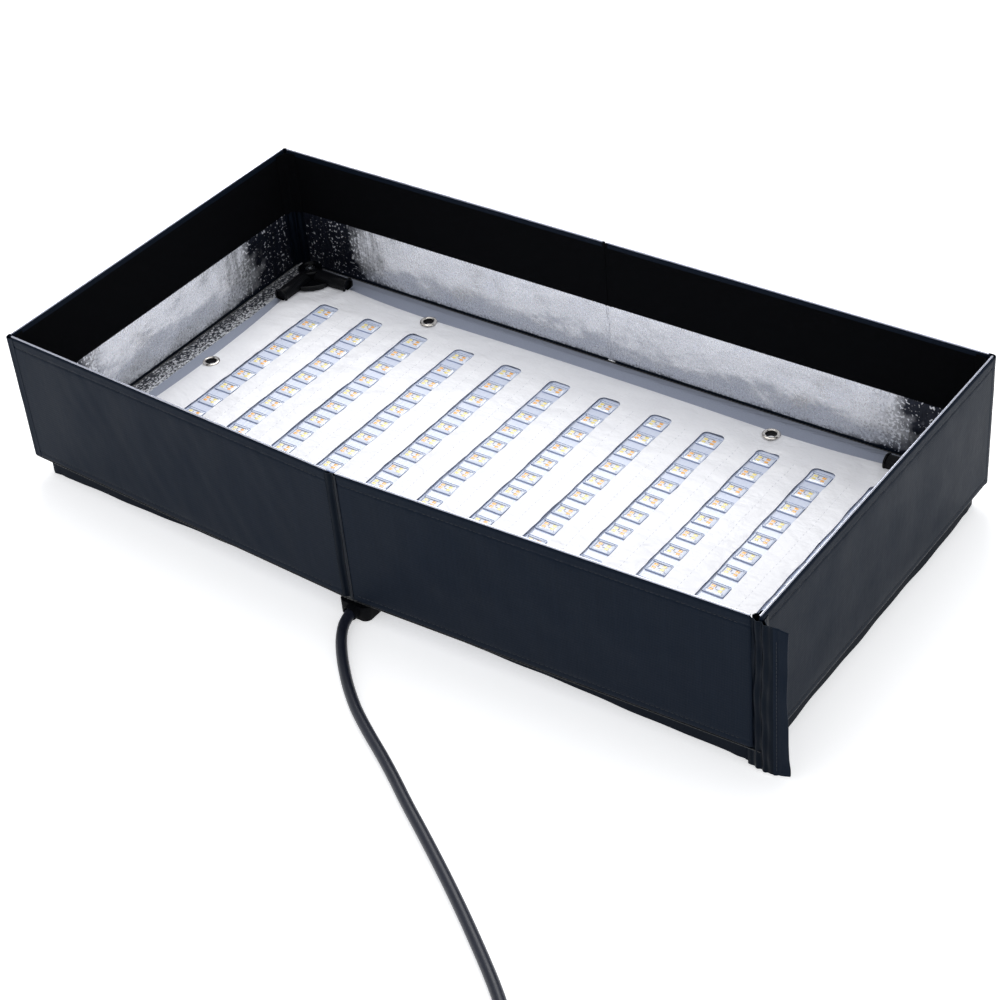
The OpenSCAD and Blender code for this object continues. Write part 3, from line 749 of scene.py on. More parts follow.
def make_cover(panel, seed):
    """The nylon goes up the outside, over the rim and down to a hem inside, and under the bottom edge."""
    length, gap_a, gap_b = PANELS[panel][3:]
    mid, half = panel_depth(panel)
    top = RIM_Z - half
    bottom = WALL_Z + half
    fold_in, fold_up = 3 * MM, 0.8 * MM
    bend = math.pi * half
    marks = np.cumsum([0, fold_in, bend, 12 * MM, top - bottom - 20 * MM, 8 * MM, bend, fold_up])
    columns = int(length / (3.2 * MM)) + 14
    cloth, u, v = cloth_grid(panel + "_shell", columns, 74)
    run = np.interp(v, [0, 0.07, 0.20, 0.42, 0.76, 0.84, 0.95, 1], marks)
    along = along_panel(u, length, gap_a, gap_b)
    full = end_shape(along, length, gap_a, gap_b)
    over = np.clip((run - marks[1]) / bend, 0, 1) * math.pi
    under = np.clip((run - marks[5]) / bend, 0, 1) * math.pi
    depth = half * np.where(run < marks[5], np.cos(over), -np.cos(under))
    rise = np.where(run < marks[1], top - (marks[1] - run), top + half * np.sin(over))
    rise = np.where(run > marks[2], top - (run - marks[2]), rise)
    rise = np.where(run > marks[5], bottom - half * np.sin(under), rise)
    rise = np.where(run > marks[6], bottom + (run - marks[6]), rise)
    outside = smoothstep(run, marks[2], marks[2] + 14 * MM)
    outside = outside * (1 - smoothstep(run, marks[5] - 14 * MM, marks[5]))
    free = smoothstep(along, 10 * MM, 70 * MM) * smoothstep(length - along, 10 * MM, 70 * MM)
    waves = 0.55 * ripple(along, rise, seed, 0.085) + 0.25 * ripple(along, rise, seed + 40, 0.030)
    swell = outside * free * (waves + 0.45) * MM
    hem_line = np.exp(-((rise - (RIM_Z - HEM)) / (0.9 * MM)) ** 2) * (run > marks[2])
    on_outside = (run > marks[2]) * (run < marks[5])
    low_line = np.exp(-((rise - (WALL_Z + LOW_SEAM)) / (0.9 * MM)) ** 2) * on_outside
    pucker = 0.12 * MM * np.sin(along / (2.2 * MM)) * np.exp(-((rise - (RIM_Z - HEM)) / (3 * MM)) ** 2)
    depth = depth * (0.06 + 0.94 * full) - swell + (0.42 * hem_line + 0.30 * low_line) * MM
    depth = depth + pucker * (run > marks[2])
    shrink = 1.6 * MM * (1 - full)
    centre = (RIM_Z + WALL_Z) / 2
    rise = np.where(rise > centre, rise - shrink, rise + shrink)
    rim_wave = 0.5 * MM * ripple(along, along * 0, seed + 7, 0.16)
    rim_wave = rim_wave * smoothstep(rise, RIM_Z - 14 * MM, RIM_Z) * free
    set_coords(cloth, on_panel(panel, along, mid + depth, rise - np.abs(rim_wave)))
    inward = PANELS[panel][2]
    finish_cloth(cloth, NYLON, length, float(marks[-1]), 0.35 * MM, (-inward[0], -inward[1], 0))
    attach(cloth, panel)
    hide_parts(panel + "_cover", panel + "_board")
    return cloth


def inner_ends(panel):
    """How far the inner cloths stay from the panel's ends, and which ends are corners of the ring."""
    ends = [(gap + 0.7 * MM if corner else 0.3 * MM, corner)
            for gap, corner in zip(PANELS[panel][4:], CORNER_ENDS.get(panel, (True, True)))]
    if panel == "right_end":
        ends[0] = (8 * MM, True)
    return ends


def make_inner(panel, name, material, low, high, seed, grain):
    """One flat cloth on the inside of a panel, from low to high."""
    length = PANELS[panel][3]
    (gap_a, corner_a), (gap_b, corner_b) = inner_ends(panel)
    mid, half = panel_depth(panel)
    columns = int(length / (3.0 * MM)) + 12
    rows = int((high - low) / (3.0 * MM)) + 4
    cloth, u, v = cloth_grid(f"{panel}_{name}", columns, rows)
    along = along_panel(u, length, gap_a, gap_b)
    far = 1.0
    to_corner = np.minimum(along if corner_a else far, length - along if corner_b else far)
    full = end_shape(along, length, gap_a if corner_a else -far, gap_b if corner_b else -far)
    rise = low + (high - low) * v
    edge = np.minimum(rise - low, high - rise)
    tuck = 0.25 * MM * (1 - smoothstep(edge, 0, 2.2 * MM))
    waves = 0.7 * ripple(along, rise, seed, 0.040) + 0.5 * ripple(along, rise, seed + 9, 0.013)
    crush = grain * MM * waves
    crush = crush * smoothstep(to_corner, 8 * MM, 40 * MM)
    depth = mid + (half - 0.06 * MM) * (0.06 + 0.94 * full) - tuck + crush * smoothstep(edge, 0, 10 * MM)
    set_coords(cloth, on_panel(panel, along, depth, rise))
    # crumple_and_shade: how crushed the lining is and how much painted shade it gets, near the ring's
    # corners and at its foot
    crumple_and_shade = 0.95 * np.exp(-(to_corner / (76 * MM)) ** 2) + 0.45 * np.exp(-(rise - low) / (5 * MM))
    layer = cloth.data.attributes.new("crumple_and_shade", "FLOAT", "POINT")
    layer.data.foreach_set("value", np.clip(crumple_and_shade, 0, 1).astype(np.float32))
    inward = PANELS[panel][2]
    finish_cloth(cloth, material, length, high - low, 0.3 * MM, (inward[0], inward[1], 0))
    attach(cloth, panel)
    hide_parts(f"{panel}_{name}")
    return cloth


def make_piping(panel):
    """Thin glossy cord sewn along the rim; its pale metal colour is a painted highlight on the dark piping.
    """
    length, gap_a, gap_b = PANELS[panel][3:]
    mid, half = panel_depth(panel)
    steps = 60
    along = np.linspace(gap_a + 1.2 * MM, length - gap_b - 1.2 * MM, steps)
    line = on_panel(panel, along, np.full(steps, mid + 0.4 * half), np.full(steps, RIM_Z + 0.1 * MM))
    piping = tube_curve(panel + "_piping", [Vector(p) for p in line], 0.8 * MM, 4)
    as_mesh(piping)
    paint(piping, PIPING_HIGHLIGHT)
    smooth(piping)
    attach(piping, panel)
    return piping


def stitch_row(name, at, way, out, count, pitch, long=2.6 * MM, wide=0.55 * MM):
    """A row of raised stitches: one is modelled and the rest are copies of it."""
    way, out = Vector(way).normalized(), Vector(out).normalized()
    side = out.cross(way)
    deselect()
    bpy.ops.mesh.primitive_cylinder_add(vertices=6, radius=0.5, depth=1, rotation=(0, math.pi / 2, 0))
    stitch = settle(bpy.context.object)
    one = coords(stitch)
    swell = 1 - 0.5 * (np.abs(one[:, 0]) > 0.4)
    faces = [tuple(p.vertices) for p in stitch.data.polygons]
    bpy.data.objects.remove(stitch)
    verts, polys = [], []
    for k in range(count):
        centre = Vector(at) + way * (k * pitch)
        for (x, y, z), s in zip(one, swell):
            verts.append(centre + way * (x * long) + side * (y * wide * s) + out * (z * wide * 0.8 * s))
        polys += [tuple(i + k * len(one) for i in face) for face in faces]
    mesh = bpy.data.meshes.new(name)
    mesh.from_pydata([tuple(v) for v in verts], [], polys)
    row = bpy.data.objects.new(name, mesh)
    bpy.context.scene.collection.objects.link(row)
    return row


def make_hem_stitches(panel):
    length, gap_a, gap_b = PANELS[panel][3:]
    mid, half = panel_depth(panel)
    pitch = 4.0 * MM
    count = int((length - gap_a - gap_b - 14 * MM) / pitch)
    start, way, inward = (Vector((*v, 0)) for v in PANELS[panel][:3])
    rows = []
    face = mid - half
    for height, depth in ((RIM_Z - HEM, face + 0.18 * MM), (WALL_Z + LOW_SEAM, face + 0.10 * MM)):
        at = start + way * (gap_a + 8 * MM) + inward * depth + Vector((0, 0, height))
        rows.append(stitch_row("row", at, way, -inward, count, pitch))
    hem = join(panel + "_hem_stitches", rows)
    paint(hem, THREAD)
    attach(hem, panel)
    return hem


def make_base_seam(panel):
    """Dark over-sewn roll where the lining ends above the floor cloth, with slanting stitches."""
    length, gap_a, gap_b = PANELS[panel][3:]
    mid, half = panel_depth(panel)
    steps = int(length / (4 * MM))
    along = np.linspace(gap_a + 3 * MM, length - gap_b - 3 * MM, steps)
    line = on_panel(panel, along, np.full(steps, mid + half - 0.45 * MM), np.full(steps, WALL_Z + 0.35 * MM))
    roll = tube_curve(panel + "_seam_roll", [Vector(p) for p in line], 0.65 * MM, 3)
    as_mesh(roll)
    pitch = 2.4 * MM
    count = int((length - gap_a - gap_b - 12 * MM) / pitch)
    start, way, inward = (Vector((*v, 0)) for v in PANELS[panel][:3])
    at = start + way * (gap_a + 6 * MM) + inward * (mid + half + 0.02 * MM)
    at = at + Vector((0, 0, WALL_Z + 1.1 * MM))
    slant = (way * 0.55 + Vector((0, 0, 1))).normalized()
    threads = stitch_row("threads", at, way, inward, count, pitch, long=0.9 * MM, wide=0.5 * MM)
    co = coords(threads)
    index = np.round(((co - np.array(at)) @ np.array(way)) / pitch)
    centre = np.array(at) + index[:, None] * pitch * np.array(way)
    rel = co - centre
    lengthwise = rel @ np.array(way)
    co = co + np.outer(lengthwise * 2.4, np.array(slant)) - np.outer(lengthwise, np.array(way))
    set_coords(threads, co)
    seam = join(panel + "_floor_seam", [roll, threads])
    paint(seam, GUSSET)
    if not seam.data.uv_layers:
        seam.data.uv_layers.new(name="cloth")
    smooth(seam)
    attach(seam, panel)
    return seam


for number, panel in enumerate(PANELS):
    make_cover(panel, 100 + number)
    make_inner(panel, "band", PILE, BAND_Z, RIM_Z - 3.5 * MM, 200 + number, 0.10)
    make_inner(panel, "lining", LINING, WALL_Z + 1.0 * MM, BAND_Z + 1.0 * MM, 300 + number, 0.30)
    make_piping(panel)
    make_hem_stitches(panel)
    make_base_seam(panel)


# ---------------------------------------------------------------- fabric between the panels

def fold_strip(name, outline, low, high, material, folds=0.0, pleats=3, seed=1, thick=0.4 * MM, facing=None,
               drop=0.0, rough=1.0):
    """A strip of cloth through the plan outline, with upright pleats that wander as they go down."""
    line = path_through([Vector((*p, 0)) for p in outline], 6)
    reach = np.cumsum([0] + [(b - a).length for a, b in zip(line, line[1:])])
    xs = np.array([p.x for p in line])
    ys = np.array([p.y for p in line])
    cloth, u, v = cloth_grid(name, 36, 44)
    run = u * reach[-1]
    x = np.interp(run, reach, xs)
    y = np.interp(run, reach, ys)
    step = 0.2 * MM
    dx = np.interp(run + step, reach, xs) - np.interp(run - step, reach, xs)
    dy = np.interp(run + step, reach, ys) - np.interp(run - step, reach, ys)
    size = np.hypot(dx, dy) + 1e-12
    nx, ny = dy / size, -dx / size
    rise = low + (high - low) * v
    wander = 0.9 * np.sin(rise / (23 * MM) + seed) + 0.5 * np.sin(rise / (9 * MM) + 2.1 * seed)
    wave = np.sin(2 * math.pi * pleats * u + wander) * np.sin(math.pi * u) ** 0.7
    cross = 0.35 * rough * np.sin(rise / (5.2 * MM) + 5 * u + seed) * np.sin(math.pi * u)
    push = folds * (wave + cross)
    if facing is not None:
        sign = 1 if nx.mean() * facing[0] + ny.mean() * facing[1] > 0 else -1
    else:
        sign = 1
    x = x + nx * push * sign
    y = y + ny * push * sign
    set_coords(cloth, np.stack([x, y, rise - drop * u * smoothstep(v, 0.8, 1.0)], 1))
    facing = facing or (float(nx.mean()), float(ny.mean()))
    finish_cloth(cloth, material, float(reach[-1]), high - low, thick, (*facing, 0), offset=0)
    return cloth


def arc(centre, radius, start, end, steps=5):
    return [(centre[0] + radius * math.cos(math.radians(a)), centre[1] + radius * math.sin(math.radians(a)))
            for a in np.linspace(start, end, steps)]


STRIP_LOW = WALL_Z + 0.8 * MM
STRIP_TOP = RIM_Z - 0.8 * MM


def inner_corner(name, outline, facing, seed):
    """Inside a corner: the loop band runs round above, a glossy pleated gusset fills in below."""
    band = fold_strip(name + "_inner_band", outline, BAND_Z, RIM_Z - 2.2 * MM, PILE, 0.12 * MM, 1.5,
                      seed=seed, facing=facing)
    pleated = fold_strip(name + "_inner_gusset", outline, STRIP_LOW, BAND_Z + 0.5 * MM, GUSSET, 0.85 * MM, 3,
                         seed=seed + 2, facing=facing)
    for cloth in (band, pleated):
        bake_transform(cloth)


def back_corner(side, name):
    """Rounded outer gusset and pleated inner gusset at a back corner; side is -1 left, 1 right."""
    axis = (side * IN_X, IN_Y)
    outer = [(side * (OUT_X - 0.30 * MM), IN_Y - 5 * MM), (side * (OUT_X - 0.02 * MM), IN_Y - 1.5 * MM)]
    outer += [(axis[0] + side * 3.9 * MM * math.cos(a), axis[1] + 3.9 * MM * math.sin(a))
              for a in (math.radians(d) for d in (20, 45, 70))]
    outer += [(side * (IN_X - 1.5 * MM), OUT_Y - 0.15 * MM), (side * (IN_X - 5 * MM), OUT_Y - 0.35 * MM)]
    shell = fold_strip(name + "_outer_gusset", outer, STRIP_LOW, STRIP_TOP, NYLON, 0.12 * MM, 2,
                       seed=3 + side, facing=(side, 1))
    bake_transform(shell)
    inner = [(side * (IN_X - 0.05 * MM), IN_Y - 12 * MM), (side * (IN_X - 0.9 * MM), IN_Y - 8 * MM),
             (side * (IN_X - 2.8 * MM), IN_Y - 2.8 * MM), (side * (IN_X - 8 * MM), IN_Y - 0.9 * MM),
             (side * (IN_X - 12 * MM), IN_Y - 0.05 * MM)]
    inner_corner(name, inner, (-side, -1), 5 + side)


back_corner(-1, "back_left_corner")
back_corner(1, "back_right_corner")


def front_left_corner():
    outer = [(-OUT_X + 0.30 * MM, -IN_Y + 3 * MM), (-OUT_X + 0.05 * MM, -IN_Y + 0.5 * MM)]
    outer += arc((-OUT_X + 3.9 * MM, -OUT_Y + 3.9 * MM), 3.9 * MM, 195, 255)
    outer += [(-IN_X + 1.5 * MM, -OUT_Y + 0.10 * MM), (-IN_X + 5 * MM, -OUT_Y + 0.15 * MM)]
    shell = fold_strip("front_left_corner_outer_gusset", outer, STRIP_LOW, STRIP_TOP, NYLON, 0.12 * MM, 2,
                       seed=8, facing=(-1, -1))
    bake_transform(shell)
    inner = [(-IN_X + 0.05 * MM, -IN_Y + 12 * MM), (-IN_X + 0.9 * MM, -IN_Y + 8 * MM),
             (-IN_X + 2.8 * MM, -IN_Y + 2.8 * MM), (-IN_X + 8 * MM, -IN_Y + 0.7 * MM),
             (-IN_X + 12 * MM, -IN_Y - 0.40 * MM)]
    inner_corner("front_left_corner", inner, (1, 1), 9)


front_left_corner()


def crease(name, middle_y, gap, seed):
    """Recessed cloth in the gap between two half panels, outside and inside."""
    reach = gap + 2.2 * MM
    sign = 1 if middle_y > 0 else -1
    outer = [(-reach, middle_y - sign * 0.45 * MM), (-gap, middle_y - sign * 0.9 * MM),
             (0, middle_y - sign * 2.2 * MM), (gap, middle_y - sign * 0.9 * MM),
             (reach, middle_y - sign * 0.45 * MM)]
    outside = fold_strip(name + "_outer_cloth", outer, STRIP_LOW, STRIP_TOP - 0.2 * MM, GUSSET, 0.30 * MM,
                         1.5, seed=seed, facing=(0, sign))
    inner_y = middle_y - sign * WALL_T
    inner = [(-reach, inner_y + sign * 0.75 * MM), (-gap, inner_y + sign * 0.85 * MM),
             (0, inner_y + sign * 0.9 * MM), (gap, inner_y + sign * 0.85 * MM),
             (reach, inner_y + sign * 0.75 * MM)]
    inside_top = fold_strip(name + "_inner_band", inner, BAND_Z, STRIP_TOP - 0.2 * MM, PILE, 0.10 * MM, 1.5,
                            seed=seed + 1, facing=(0, -sign))
    inside_low = fold_strip(name + "_inner_lining", inner, STRIP_LOW, BAND_Z, LINING, 0.15 * MM, 1.5,
                            seed=seed + 2, facing=(0, -sign))
    for cloth in (outside, inside_top, inside_low):
        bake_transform(cloth)


crease("back_crease", OUT_Y, BACK_CREASE_GAP, 21)
crease("front_crease", FRONT_CREASE.y - WALL_T, CREASE_GAP, 31)


def front_right_corner():
    """The closing corner: a pleated gusset that stays on the end wall, and a bound seam standing out."""
    x = OUT_X
    y = -OUT_Y
    outer = [(IN_X - 7.5 * MM, y + 2.0 * MM), (IN_X - 4.5 * MM, y + 2.0 * MM), (x - 3.6 * MM, y + 1.5 * MM),
             (x - 0.2 * MM, y + 1.2 * MM), (x + 4 * MM, y + 0.2 * MM), (x + 9.5 * MM, y + 1.4 * MM)]
    gusset = fold_strip("closing_corner_gusset", outer, 2.5 * MM, STRIP_TOP, GUSSET, 0.65 * MM, 3.5, seed=12,
                        facing=(1, -1), drop=2 * MM, rough=1.8)
    behind = [(x + 0.2 * MM, y + 11 * MM), (x + 0.4 * MM, y + 7 * MM), (x + 2.0 * MM, y + 3.8 * MM),
              (x + 5 * MM, y + 2.2 * MM), (x + 9.5 * MM, y + 2.2 * MM)]
    back = fold_strip("closing_corner_back", behind, 5 * MM, STRIP_TOP - 1.5 * MM, GUSSET, 0.4 * MM, 2.5,
                      seed=13, facing=(1, 1), drop=1 * MM)
    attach(gusset, "right_end")
    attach(back, "right_end")
    inner = [(IN_X - 0.05 * MM, -IN_Y + 12 * MM), (IN_X - 0.9 * MM, -IN_Y + 8 * MM),
             (IN_X - 2.6 * MM, -IN_Y + 3.6 * MM), (IN_X - 4.6 * MM, -IN_Y + 0.8 * MM)]
    flap = fold_strip("closing_corner_inner_gusset", inner, STRIP_LOW, STRIP_TOP - 0.4 * MM, GUSSET,
                      0.5 * MM, 2.5, seed=14, facing=(-1, 1))
    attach(flap, "right_end")
    low, high = 1.5 * MM, RIM_Z - 2.5 * MM
    cloth, u, v = cloth_grid("closing_seam", 16, 80)
    rise = low + (high - low) * v
    flare = 1 - smoothstep(v, 0.0, 0.14)
    reach = (10.6 + 0.7 * np.sin(rise / (21 * MM)) + 1.6 * flare) * MM
    sway = 0.8 * MM * np.sin(rise / (17 * MM) + 1) + 0.5 * MM * np.sin(rise / (7 * MM))
    fold = 0.55 * MM * np.exp(-((u - 0.32) / 0.10) ** 2)
    points = np.stack([x + 8.8 * MM + u * reach,
                       y + 1.6 * MM + u * 1.6 * MM + sway * u + fold,
                       rise - u * 2.5 * MM * v + 2.5 * MM * flare * u], 1)
    set_coords(cloth, points)
    finish_cloth(cloth, NYLON, 0.011, float(high - low), 1.3 * MM, (0, -1, 0), offset=0)
    modify(cloth, "BEVEL", width=0.35 * MM, segments=2, limit_method="ANGLE")
    apply_all(cloth)
    smooth(cloth, 50)
    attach(cloth, "right_end")
    count = int((high - low - 14 * MM) / (3.6 * MM))
    row = stitch_row("closing_seam_stitches", (x + 11.6 * MM, y + 1.35 * MM, low + 7 * MM), (0, 0, 1),
                     (0, -1, 0), count, 3.6 * MM)
    paint(row, THREAD)
    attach(row, "right_end")


front_right_corner()

# ---------------------------------------------------------------- skirt and floor cloth

def round_loop(half_x, half_y, radius, per_corner=10):
    """Points of a rounded rectangle, anticlockwise from the front side's middle."""
    points = []
    corners = [(1, -1, -90), (1, 1, 0), (-1, 1, 90), (-1, -1, 180)]
    for sx, sy, start in corners:
        centre = (sx * (half_x - radius), sy * (half_y - radius))
        points += arc(centre, radius, start, start + 90, per_corner)
    points.append(points[0])
    return points


def make_skirt():
    """The cloth skirt stands under the walls; it wanders a little and gathers at the corners."""
    low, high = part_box("rear_skirt")
    half_x, half_y = high.x - 1.3 * MM, high.y - 1.3 * MM
    loop = round_loop(half_x, half_y, 9 * MM)
    xs = np.array([p[0] for p in loop])
    ys = np.array([p[1] for p in loop])
    reach = np.concatenate([[0], np.cumsum(np.hypot(np.diff(xs), np.diff(ys)))])
    cloth, u, v = cloth_grid("skirt", 640, 10)
    run = u * reach[-1]
    x = np.interp(run, reach, xs)
    y = np.interp(run, reach, ys)
    rise = low.z + 0.25 * MM + (FLOOR_LOW - low.z - 0.3 * MM) * v
    turn = 2 * math.pi * u
    wave = 0.8 * MM * (np.sin(17 * turn) * 0.5 + np.sin(41 * turn + 1) * 0.3 + np.sin(7 * turn + 2) * 0.4)
    cornered = np.exp(-((np.abs(x) - half_x) ** 2 + (np.abs(y) - half_y) ** 2) / (16 * MM) ** 2)
    wave = wave + cornered * 0.8 * MM * np.sin(run / (2.6 * MM))
    gland = np.exp(-(((x + 5 * MM) / (30 * MM)) ** 4)) * (y < 0)
    push = (wave * (1 - v) * (1 - gland)) - 0.3 * MM
    on_long = np.abs(np.abs(y) - half_y) < 3 * MM
    on_short = np.abs(np.abs(x) - half_x) < 3 * MM
    y = y + np.sign(y) * push * on_long
    x = x + np.sign(x) * push * on_short
    set_coords(cloth, np.stack([x, y, rise], 1))
    name_cloth_map(cloth, float(reach[-1]), 0.017)
    edit_all(cloth, bpy.ops.mesh.remove_doubles, threshold=0.01 * MM)
    modify(cloth, "SOLIDIFY", thickness=1.6 * MM, offset=0)
    apply_all(cloth)
    outwards(cloth)
    paint(cloth, SKIRT)
    smooth(cloth, 60)
    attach(cloth, "base")
    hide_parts("rear_skirt")
    return cloth


def make_skirt_binding():
    """Bound edge round the top of the skirt, under the walls."""
    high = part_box("rear_skirt")[1]
    loop = round_loop(high.x - 0.6 * MM, high.y - 0.6 * MM, 9 * MM, 14)
    line = [Vector((x, y, FLOOR_LOW - 1.2 * MM)) for x, y in loop]
    binding = tube_curve("skirt_binding", line, 1.1 * MM, 3)
    as_mesh(binding)
    paint(binding, BINDING)
    smooth(binding)
    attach(binding, "base")
    return binding


UNDER_WALLS = 4.6 * MM


def make_floor_cloth():
    """Silver cloth under the mat: taut below it, crushed into small waves near the walls."""
    low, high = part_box("floor_cloth")
    half_x, half_y = high.x + UNDER_WALLS, high.y + UNDER_WALLS
    lean = -low.y - high.y
    cloth, u, v = cloth_grid("floor_sheet", 230, 120)
    x = (2 * u - 1) * half_x
    front = half_y + lean * (1 - np.abs(2 * u - 1))
    y = -front + (front + half_y) * v
    zone = smoothstep(half_x - np.abs(x), 2 * MM, 7 * MM) * smoothstep(half_y - y, 2 * MM, 7 * MM)
    zone = zone * smoothstep(y + front, 2 * MM, 7 * MM)
    clear_x = smoothstep(np.abs(x), MAT_HIGH.x - 12 * MM, MAT_HIGH.x)
    clear_y = smoothstep(np.abs(y), MAT_HIGH.y - 12 * MM, MAT_HIGH.y)
    beside = np.maximum(clear_x, 0.4 * clear_y)
    crush = 0.35 * ripple(x, y, 77, 0.016) + 0.35 * ripple(x, y, 78, 0.034)
    crush = crush + clear_x * 0.35 * ripple(y, x * 0.4, 79, 0.007)
    lift = zone * beside * (0.30 + crush) * 0.8 * MM
    corner = np.exp(-((np.abs(x) - half_x) ** 2 + (np.abs(y) - half_y) ** 2) / (20 * MM) ** 2)
    set_coords(cloth, np.stack([x, y, FLOOR_TOP - 0.05 * MM + lift * (1 - corner)], 1))
    inset = np.minimum(np.minimum(half_x - np.abs(x), half_y - y), y + front)
    # the under attribute marks the strip under the walls, which the floor_silver material paints near-black
    # as shade
    layer = cloth.data.attributes.new("under", "FLOAT", "POINT")
    layer.data.foreach_set("value", (inset < 1 * MM).astype(np.float32))
    finish_cloth(cloth, FLOOR_SILVER, 2 * half_x, 2 * half_y, 0.7 * MM, (0, 0, 1))
    return cloth


def cut_holes(piece, cutters, edge=None):
    """Cuts the cutters out of the piece; the cut faces take the edge material, if there is one."""
    cutter = join("cutter", cutters)
    if edge is not None:
        paint(cutter, edge)
    modify(piece, "BOOLEAN", operation="DIFFERENCE", solver="EXACT", object=cutter,
           material_mode="TRANSFER" if edge is not None else "INDEX")
    apply_all(piece)
    bpy.data.objects.remove(cutter)
    return piece


def round_cutter(x, y, low, high, radius, vertices=32):
    deselect()
    bpy.ops.mesh.primitive_cylinder_add(vertices=vertices, radius=radius, depth=high - low,
                                        location=(x, y, (low + high) / 2))
    return settle(bpy.context.object)


EYELET_R = 4.7 * MM
EYELET_X, EYELET_Y, EYELET_END = 176 * MM, 145 * MM, 309 * MM
EYELETS = [(sx * EYELET_X, sy * EYELET_Y) for sx in (-1, 1) for sy in (-1, 1)]
EYELETS += [(-EYELET_END, 0), (EYELET_END, 0)]
HOLDER_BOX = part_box("corner_holder_br")
CORNER = (HOLDER_BOX[1].x - 11 * MM, HOLDER_BOX[1].y - 11 * MM)
CORNERS = [(sx, sy) for sx in (-1, 1) for sy in (-1, 1)]

make_skirt()
make_skirt_binding()
floor_sheet = make_floor_cloth()
cut_holes(floor_sheet, [round_cutter(x, y, 0.010, 0.024, 8.9 * MM) for x, y in EYELETS]
          + [round_cutter(sx * CORNER[0], sy * CORNER[1], 0.010, 0.024, 3.2 * MM) for sx, sy in CORNERS])
smooth(floor_sheet, 50)
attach(floor_sheet, "base")
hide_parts("floor_cloth")

# ---------------------------------------------------------------- the LED mat

COLUMNS, ROWS = 12, 11
COL_PITCH, ROW_PITCH = 50.9 * MM, 22.5 * MM
LED_SHIFT = 9 * MM
LED_LEN, LED_WID = (COLUMNS - 1) * COL_PITCH, (ROWS - 1) * ROW_PITCH
COLUMN_X = [c * COL_PITCH - LED_LEN / 2 + LED_SHIFT for c in range(COLUMNS)]
ROW_Y = [r * ROW_PITCH - LED_WID / 2 for r in range(ROWS)]
SLOT_W, SLOT_END, SLOT_ROUND = 21 * MM, 11 * MM, 5 * MM
EDGE_X, EDGE_Y = MAT_HIGH.x - 11 * MM, MAT_HIGH.y - 12 * MM


def long_edge(x):
    """Half of the mat's width at x: drawn in at the eyelets, flared at the corners."""
    inner = EDGE_Y + 2 * MM * (1 - (x / EYELET_X) ** 2)
    outer = EDGE_Y + 12 * MM * ((np.abs(x) - EYELET_X) / (MAT_HIGH.x - EYELET_X)) ** 2
    return np.where(np.abs(x) < EYELET_X, inner, outer)


def short_edge(y):
    return EDGE_X + 11 * MM * (y / MAT_HIGH.y) ** 2


def billow(x, y):
    """Height of the soft sheet above the circuit: it swells between the slots and pulls at eyelets."""
    phase = (x - COLUMN_X[0]) / COL_PITCH
    swell = 0.5 - 0.5 * np.cos(2 * math.pi * phase)
    inside = smoothstep(LED_WID / 2 + 16 * MM - np.abs(y), 0, 14 * MM)
    height = 0.8 * MM * swell * inside
    height = height + 0.7 * MM * ripple(x, y * 0.5, 55, 0.060) + 0.5 * MM * ripple(x * 0.5, y, 56, 0.024)
    height = height + 0.3 * MM * ripple(x, y, 57, 0.013) * (0.4 + 0.6 * (1 - inside))
    for ex, ey in EYELETS:
        distance = np.hypot(x - ex, y - ey)
        height = height - 0.9 * MM * np.exp(-(distance / (15 * MM)) ** 2)
        fan = np.arctan2(y - ey, x - ex)
        height = height + 0.35 * MM * np.sin(7 * fan) * np.exp(-((distance - 20 * MM) / (13 * MM)) ** 2)
    for sx, sy in CORNERS:
        distance = np.hypot(x - sx * CORNER[0], y - sy * CORNER[1])
        rings = np.sin(distance / (6 * MM)) * np.exp(-((distance - 42 * MM) / (16 * MM)) ** 2)
        height = height + 0.8 * MM * rings
        height = height - 1.0 * MM * np.exp(-(distance / (26 * MM)) ** 2)
    return height


def slot_cutter(x):
    """A rounded slot through the sheet, over one column of LEDs."""
    deselect()
    tall = LED_WID + 2 * SLOT_END
    bpy.ops.mesh.primitive_cube_add(size=1, location=(x, 0, MAT_TOP))
    block = bpy.context.object
    block.scale = (SLOT_W, tall, 20 * MM)
    settle(block)
    pick(block)
    bpy.ops.object.mode_set(mode="EDIT")
    bpy.ops.mesh.select_all(action="DESELECT")
    bpy.ops.object.mode_set(mode="OBJECT")
    for edge in block.data.edges:
        a, b = (block.data.vertices[i].co for i in edge.vertices)
        edge.select = abs(a.z - b.z) > 10 * MM
    bpy.ops.object.mode_set(mode="EDIT")
    bpy.ops.mesh.select_mode(type="EDGE")
    bpy.ops.mesh.bevel(offset=SLOT_ROUND, segments=6)
    bpy.ops.object.mode_set(mode="OBJECT")
    return block


# How far the sheet's slots wander to the side
DRIFT = 0.75 * MM


